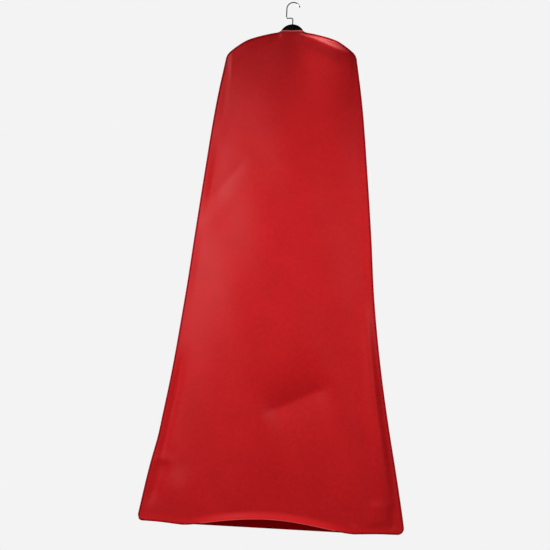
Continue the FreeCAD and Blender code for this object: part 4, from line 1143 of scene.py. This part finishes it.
def repeating_group():
    """The node group, built once for teeth and stitches."""
    tree = bpy.data.node_groups.new("repeat_along_path", "GeometryNodeTree")
    for name, kind in (("Path", "Geometry"), ("Pitch", "Float"), ("Shape", "Object"),
                       ("Unevenness", "Float"), ("Finish", "Material"), ("Seed", "Int")):
        tree.interface.new_socket(name, in_out="INPUT", socket_type="NodeSocket" + kind)
    tree.interface.new_socket("Result", in_out="OUTPUT", socket_type="NodeSocketGeometry")
    given = add(tree, "NodeGroupInput").outputs
    line = add(tree, "GeometryNodeMeshToCurve", {"Mesh": given["Path"]})
    steps = add(tree, "GeometryNodeResampleCurve", {"Curve": line.outputs["Curve"],
                                                    "Length": given["Pitch"]}, mode="LENGTH")
    along = add(tree, "GeometryNodeInputTangent")
    turn = add(tree, "FunctionNodeAlignRotationToVector", {"Vector": along.outputs["Tangent"]}, axis="Z")
    least = add(tree, "ShaderNodeMath", {0: 1.0, 1: given["Unevenness"]}, operation="SUBTRACT")
    most = add(tree, "ShaderNodeMath", {0: 1.0, 1: given["Unevenness"]}, operation="ADD")
    size = add(tree, "FunctionNodeRandomValue", {2: least.outputs[0], 3: most.outputs[0],
                                                 "Seed": given["Seed"]}, data_type="FLOAT")
    shape = add(tree, "GeometryNodeObjectInfo", {"Object": given["Shape"]})
    placed = add(tree, "GeometryNodeInstanceOnPoints",
                 {"Points": steps.outputs["Curve"], "Instance": shape.outputs["Geometry"],
                  "Rotation": turn.outputs["Rotation"], "Scale": size.outputs[1]})
    real = add(tree, "GeometryNodeRealizeInstances", {"Geometry": placed.outputs["Instances"]})
    finished = add(tree, "GeometryNodeSetMaterial", {"Geometry": real.outputs["Geometry"],
                                                     "Material": given["Finish"]})
    add(tree, "NodeGroupOutput", {"Result": finished.outputs["Geometry"]})
    return tree


REPEAT = repeating_group()
print("node group has", len(REPEAT.nodes), "nodes")

# %% [markdown]
# `repeated` feeds the group: it makes the path a mesh of bare edges, sets the group's inputs by the
# sockets' identifiers, reads the result off as a plain mesh and removes the object with the
# modifier. `small_shape` draws what is copied, a short bent filament with few faces, since each
# face comes back some hundreds of times.

# %% From the node group to plain meshes
SEED = 7
FILAMENT_SIDES = 6
FILAMENT_END = 0.55                  # the end rings have this share of the radius, so they look rounded
ASKEW = (0.13, 0.21, 0.97)           # a direction that no bent filament starts in


def repeated(name, paths, pitch, shape, finish, unevenness=0.0):
    """One mesh with a copy of the shape at every step along the paths."""
    points, edges = [], []
    for path in paths:
        edges += [(len(points) + i, len(points) + i + 1) for i in range(len(path) - 1)]
        points += [tuple(p) for p in path]
    mesh = bpy.data.meshes.new(name + "_path")
    mesh.from_pydata(points, edges, [])
    holder = bpy.data.objects.new(name + "_path", mesh)
    bpy.context.scene.collection.objects.link(holder)
    modifier = holder.modifiers.new("repeat", "NODES")
    modifier.node_group = REPEAT
    inputs = {item.name: item.identifier for item in REPEAT.interface.items_tree
              if item.in_out == "INPUT"}
    settings = {"Pitch": pitch, "Shape": shape, "Unevenness": unevenness, "Finish": finish, "Seed": SEED}
    for key, value in settings.items():
        modifier[inputs[key]] = value
    bpy.context.view_layer.update()
    evaluated = holder.evaluated_get(bpy.context.evaluated_depsgraph_get())
    result = bpy.data.meshes.new_from_object(evaluated)
    result.name = name
    result.shade_smooth()
    made = bpy.data.objects.new(name, result)
    bpy.context.scene.collection.objects.link(made)
    bpy.data.objects.remove(holder)
    return made


def small_shape(name, path, radius):
    """A filament of a few flat faces, to be copied many times; path and radius are in millimetres."""
    path = np.array(path, float) * MM
    heading = np.gradient(path, axis=0)
    heading /= np.linalg.norm(heading, axis=1, keepdims=True)
    upright = abs(heading[0, 2]) > 0.9
    across = np.cross(heading, (1, 0, 0) if upright else ASKEW)
    across /= np.linalg.norm(across, axis=1, keepdims=True)
    other = np.cross(heading, across)
    turn = np.arange(FILAMENT_SIDES) / FILAMENT_SIDES * 2 * math.pi
    thin = np.ones(len(path))
    thin[[0, -1]] = FILAMENT_END
    rings = path[:, None] + radius * MM * thin[:, None, None] * (
        across[:, None] * np.cos(turn)[None, :, None] + other[:, None] * np.sin(turn)[None, :, None])
    steps = np.arange(len(path)) * MM
    return swept_mesh(name, rings, steps, thread)


print("ready to repeat shapes")

# %% [markdown]
# The coils are drawn with 2.4 mm between loops, where a real one has about 1.4 mm, so that a loop is
# still a loop at this size. Left and right are half a step apart, as the heads lie between each other.

# %% Coils
TOOTH_PITCH = 2.4 * MM
COIL_TOP = (TAPE_FACE[2] - coil_high.z) / math.cos(TILT)
COIL_LOW = (TAPE_FACE[2] - coil_low.z) / math.cos(TILT)
LOOP_RADIUS = 0.5
# one loop in millimetres: across the zip, out of the tape, along the zip
LOOP = [(3.6, 0.45, -0.5), (1.6, 0.5, -0.3), (0.55, 1.1, 0.0), (1.4, 1.85, 0.35), (3.6, 1.7, 0.6)]


def coil(hand):
    """All loops of one side; the right side's lie half a step lower."""
    loop = [(hand * x, y, z) for x, y, z in LOOP]
    tooth = small_shape("loop_" + SIDES[hand], loop, LOOP_RADIUS)
    start = COIL_TOP + (0 if hand < 0 else TOOTH_PITCH / 2)
    path = on_zip(np.zeros(2), np.zeros(2), np.array([COIL_LOW - TOOTH_PITCH, start]))
    made = repeated("coil_" + SIDES[hand], [path], TOOTH_PITCH, tooth, nylon_coil)
    bpy.data.objects.remove(tooth)
    return made


coils = {side: coil(hand) for hand, side in SIDES.items()}
print("faces in one coil:", len(coils["left"].data.polygons))

# %% [markdown]
# Stitches are short capsules that sink into the cloth at both ends, with a small gap between. A
# lockstitch on cloth of this weight is about 3 to 4 mm long. Each path runs on top of what it sews.

# %% Where the needle goes
ON_TAPE = 0.92 * MM                  # a stitch's middle above the cloth, where it sews a tape,
ON_FLAP = 0.78 * MM                  # the neck's flap
ON_CLOTH = 0.05 * MM                 # and bare cloth
EDGE_SEAM = 3.4 * MM                 # from the edge to its seam
SHOULDER_SEAM = 4.2 * MM
NECK_SEAM = 7.2 * MM
ZIP_SEAM = 3 * MM


def seam_beside(edge, inwards, zipped, lift):
    """A path that runs beside a panel's edge, a little inside it."""
    x, down, out_x, out_z = edge
    return [on_panel(x - out_x * inwards, down + out_z * inwards, zipped, lift)]


def edge_seam(edge, zipped):
    """Round a panel, on its binding; under the arch the thread is drawn in with the tape."""
    lift = ON_TAPE - TUCK_IN * tucked(edge[0], edge[1], zipped)
    return seam_beside(edge, EDGE_SEAM, zipped, lift)


def neck_seam(zipped):
    """Along the lower edge of a neck fold."""
    half = NECK_OPEN_HALF - 3 * MM
    return seam_beside(shoulder_edge(np.linspace(-half, half, 60)), NECK_SEAM, zipped, ON_FLAP)


def shoulder_seam(hand):
    """One shoulder's seam, which shows on both sides of the cover."""
    along = np.linspace(NECK_OPEN_HALF + 2 * MM, SHOULDER_HALF - 4 * MM, 60)
    x, down, out_x, out_z = shoulder_edge(along)
    px, pz = hand * (x - out_x * SHOULDER_SEAM), NECK_Z - down - out_z * SHOULDER_SEAM
    lie = cloth_depth(x, down, False) + ON_TAPE
    return [np.stack([px, side * lie, pz], axis=-1) for side in (-1, 1)]


def zip_seam(hand):
    """Down one side of the zip, through cloth and zip tape."""
    down = np.linspace(14 * MM, LENGTH - 40 * MM, 300)
    return [on_panel(hand * (ZIP_GAP_HALF + ZIP_SEAM) + 0 * down, down, True, ON_CLOTH)]


print("the seam of the binding lies", EDGE_SEAM / MM, "mm inside the edge")

# %% [markdown]
# The stitches differ by up to six hundredths in size, as a machine's do. The seed is fixed, so the
# same stitches come out each time.

# %% Stitches
STITCH_PITCH = 3.6 * MM
STITCH = [(0, 0, -1.35), (0, 0, -0.6), (0, 0, 0.6), (0, 0, 1.35)]
THREAD_RADIUS = 0.26
UNEVENNESS = 0.06
capsule = small_shape("stitch", STITCH, THREAD_RADIUS)


def sewn(name, paths):
    """A row of stitches along each path."""
    return repeated("stitches_" + name, paths, STITCH_PITCH, capsule, thread, UNEVENNESS)


stitched = [sewn("edge_back", edge_seam(back_edge, False)), sewn("neck_back", neck_seam(False)),
            sewn("edge_front", edge_seam(front_edge, True)), sewn("neck_front", neck_seam(True)),
            sewn("shoulders", shoulder_seam(-1) + shoulder_seam(1)),
            sewn("zip", zip_seam(-1) + zip_seam(1))]
bpy.data.objects.remove(capsule)
print("stitch meshes:", [(s.name, len(s.data.polygons)) for s in stitched])

# %% [markdown]
# ## Ties to the frame
# Every piece rides on the cover's body: the cover turns about its hook as one, and only the slider
# and its tab move along it, and those keep their own meshes. A piece that is drawn anew takes the
# place of its plain solid.

# %% Ride and replace
soft = [cloth_back, cloth_bottom, tape_back, tape_front] + neck_folds + stitched
for group in (cloth_front, pleats, tape_shoulder, zip_tapes, coils):
    soft += group.values()
for piece in soft:
    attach(piece, "cover")

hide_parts("back_panel")
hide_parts("bottom_gusset")
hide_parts("back_binding")
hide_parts("front_binding")
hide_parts("neck_facing_back")
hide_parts("neck_facing_front")
for side in SIDES.values():
    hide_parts("front_panel_" + side)
    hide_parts("side_gusset_" + side)
    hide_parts("shoulder_binding_" + side)
    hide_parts("zip_tape_" + side)
    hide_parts("zip_coil_" + side)
print("soft pieces:", len(soft))

# %% [markdown]
# The area of the back's flat cut is worked out from its grid. A cut is a little larger than what it
# covers, by the seams' allowances.


def cut_area(x, down):
    """Area of the flat cut: the grid's cells without their depth."""
    dx, dd = np.diff(x, axis=1)[:-1], np.diff(down, axis=0)[:, :-1]
    return float(np.abs(dx * dd).sum())


print("cut of the back:", round(cut_area(x_back, down_back), 3), "m2")

# %% [markdown]
# ## World and floor
# A plain studio: a pale world on all sides and a pale floor under the bag. The camera sees both as
# the same flat grey, so no horizon shows. Everything else sees them much darker, so the cloth keeps
# its colour and the lamps do the modelling.

# %% World and floor
PALE_GREY = "#f3f3f3"
WORLD_LIGHT = 0.07
FLOOR_LIGHT = 0.3
FLOOR_BELOW_HEM = 150 * MM
FLOOR_RADIUS = 4.5
scene = bpy.context.scene
scene.view_settings.view_transform = "Standard"


def glowing(tree, kind, strength, output):
    """Looks pale grey to the camera and lights everything else by another strength."""
    ray = add(tree, "ShaderNodeLightPath")
    seen = add(tree, kind, {"Color": colour(PALE_GREY), "Strength": 1.0})
    lit = add(tree, kind, {"Color": colour("#ffffff"), "Strength": strength})
    both = add(tree, "ShaderNodeMixShader", {0: ray.outputs["Is Camera Ray"], 1: lit.outputs[0],
                                             2: seen.outputs[0]})
    add(tree, output, {"Surface": both.outputs[0]})


world = bpy.data.worlds.new("studio")
world.use_nodes = True
world.node_tree.nodes.clear()
glowing(world.node_tree, "ShaderNodeBackground", WORLD_LIGHT, "ShaderNodeOutputWorld")
scene.world = world

FLOOR_Z = HEM_Z - FLOOR_BELOW_HEM
bpy.ops.mesh.primitive_circle_add(vertices=96, radius=FLOOR_RADIUS, fill_type="NGON",
                                  location=(0, 0, FLOOR_Z))
floor = bpy.context.object
floor.name = "studio_floor"
floor_pale, tree = material("floor_pale")
glowing(tree, "ShaderNodeEmission", FLOOR_LIGHT, "ShaderNodeOutputMaterial")
floor.data.materials.append(floor_pale)
print("floor at", round(FLOOR_Z, 3))

# %% [markdown]
# ## Lamps
# The main lamp stands in front on the left, level with the hook, and a weaker one on the right.
# Both stand far enough to the side for the folds to show, and both aim below the cover's middle:
# a beam fades out from its middle, so the top of the long bag is a little darker. A narrow one above
# the right shoulder grazes the cloth there and gives it its sheen. A soft box behind on the left
# lights the zip side. It stands well to the side, because a lamp almost behind the bag would be
# mirrored by the cloth as a white strip when the bag is turned on its hook.
# Places are in metres, half angles in degrees and powers in watts.

# %% Lamps

def aimed(made, place, aim):
    """Puts a lamp in the scene and turns it to what it lights."""
    scene.collection.objects.link(made)
    made.location = place
    made.rotation_euler = (Vector(aim) - Vector(place)).to_track_quat("-Z", "Y").to_euler()
    made.visible_camera = False


def spot(name, place, aim, half_angle, radius, power):
    """A lamp whose beam fades out evenly from its middle."""
    data = bpy.data.lights.new(name, "SPOT")
    data.energy = power
    data.spot_size = math.radians(2 * half_angle)
    data.spot_blend = 1.0
    data.shadow_soft_size = radius
    aimed(bpy.data.objects.new(name, data), place, aim)


def soft_box(name, place, aim, size, power):
    """A square lamp with soft shadows."""
    data = bpy.data.lights.new(name, "AREA")
    data.shape = "SQUARE"
    data.size = size
    data.energy = power
    aimed(bpy.data.objects.new(name, data), place, aim)


spot("key", (-1.85, -1.9, 0.05), (0.1, 0, -1.28), half_angle=33, radius=0.2, power=290)
spot("fill", (1.5, -1.95, 0.12), (0.19, 0, -1.49), half_angle=28, radius=0.2, power=150)
spot("shoulder", (0.2, -0.25, 0.76), (0.12, 0, -0.11), half_angle=6.5, radius=0.04, power=60)
soft_box("zip_side", (-1.5, 1.65, -0.5), (0, 0, -0.95), size=1.0, power=72)

# %% [markdown]
# ## Camera
# The camera stands a little over four metres away, to the right of the middle and low, some 0.3 m
# above the hem. It looks slightly up at the middle of the bag and is rolled by under three degrees.
# Its three axes are worked out here one by one, because a constraint that tracks the bag can't roll.

# %% Camera
CAMERA_PLACE = Vector((0.4907, -4.1902, -1.6244))
CAMERA_AIM = Vector((-0.0205, 0.0, -1.0191))
CAMERA_ROLL = math.radians(2.77)
CAMERA_LENS = 77.91
CAMERA_SENSOR = 36                   # millimetres, as the lens
CAMERA_SEES = 50                     # metres
view = bpy.data.cameras.new("camera")
view.lens = CAMERA_LENS
view.sensor_width = CAMERA_SENSOR
view.clip_end = CAMERA_SEES
camera = bpy.data.objects.new("camera", view)
scene.collection.objects.link(camera)
ahead = (CAMERA_AIM - CAMERA_PLACE).normalized()
right = ahead.cross(Vector((0, 0, 1))).normalized()
up = right.cross(ahead)
camera_x = math.cos(CAMERA_ROLL) * right + math.sin(CAMERA_ROLL) * up
camera_y = -math.sin(CAMERA_ROLL) * right + math.cos(CAMERA_ROLL) * up
turned = Matrix((camera_x, camera_y, -ahead)).transposed().to_4x4()
camera.matrix_world = Matrix.Translation(CAMERA_PLACE) @ turned
scene.camera = camera
print("camera", round((CAMERA_AIM - CAMERA_PLACE).length, 2), "m from its aim")

# %% [markdown]
# ## The last step
# The view layer is brought up to date, so that every piece stands in its place.

# %% Finish


bpy.context.view_layer.update()
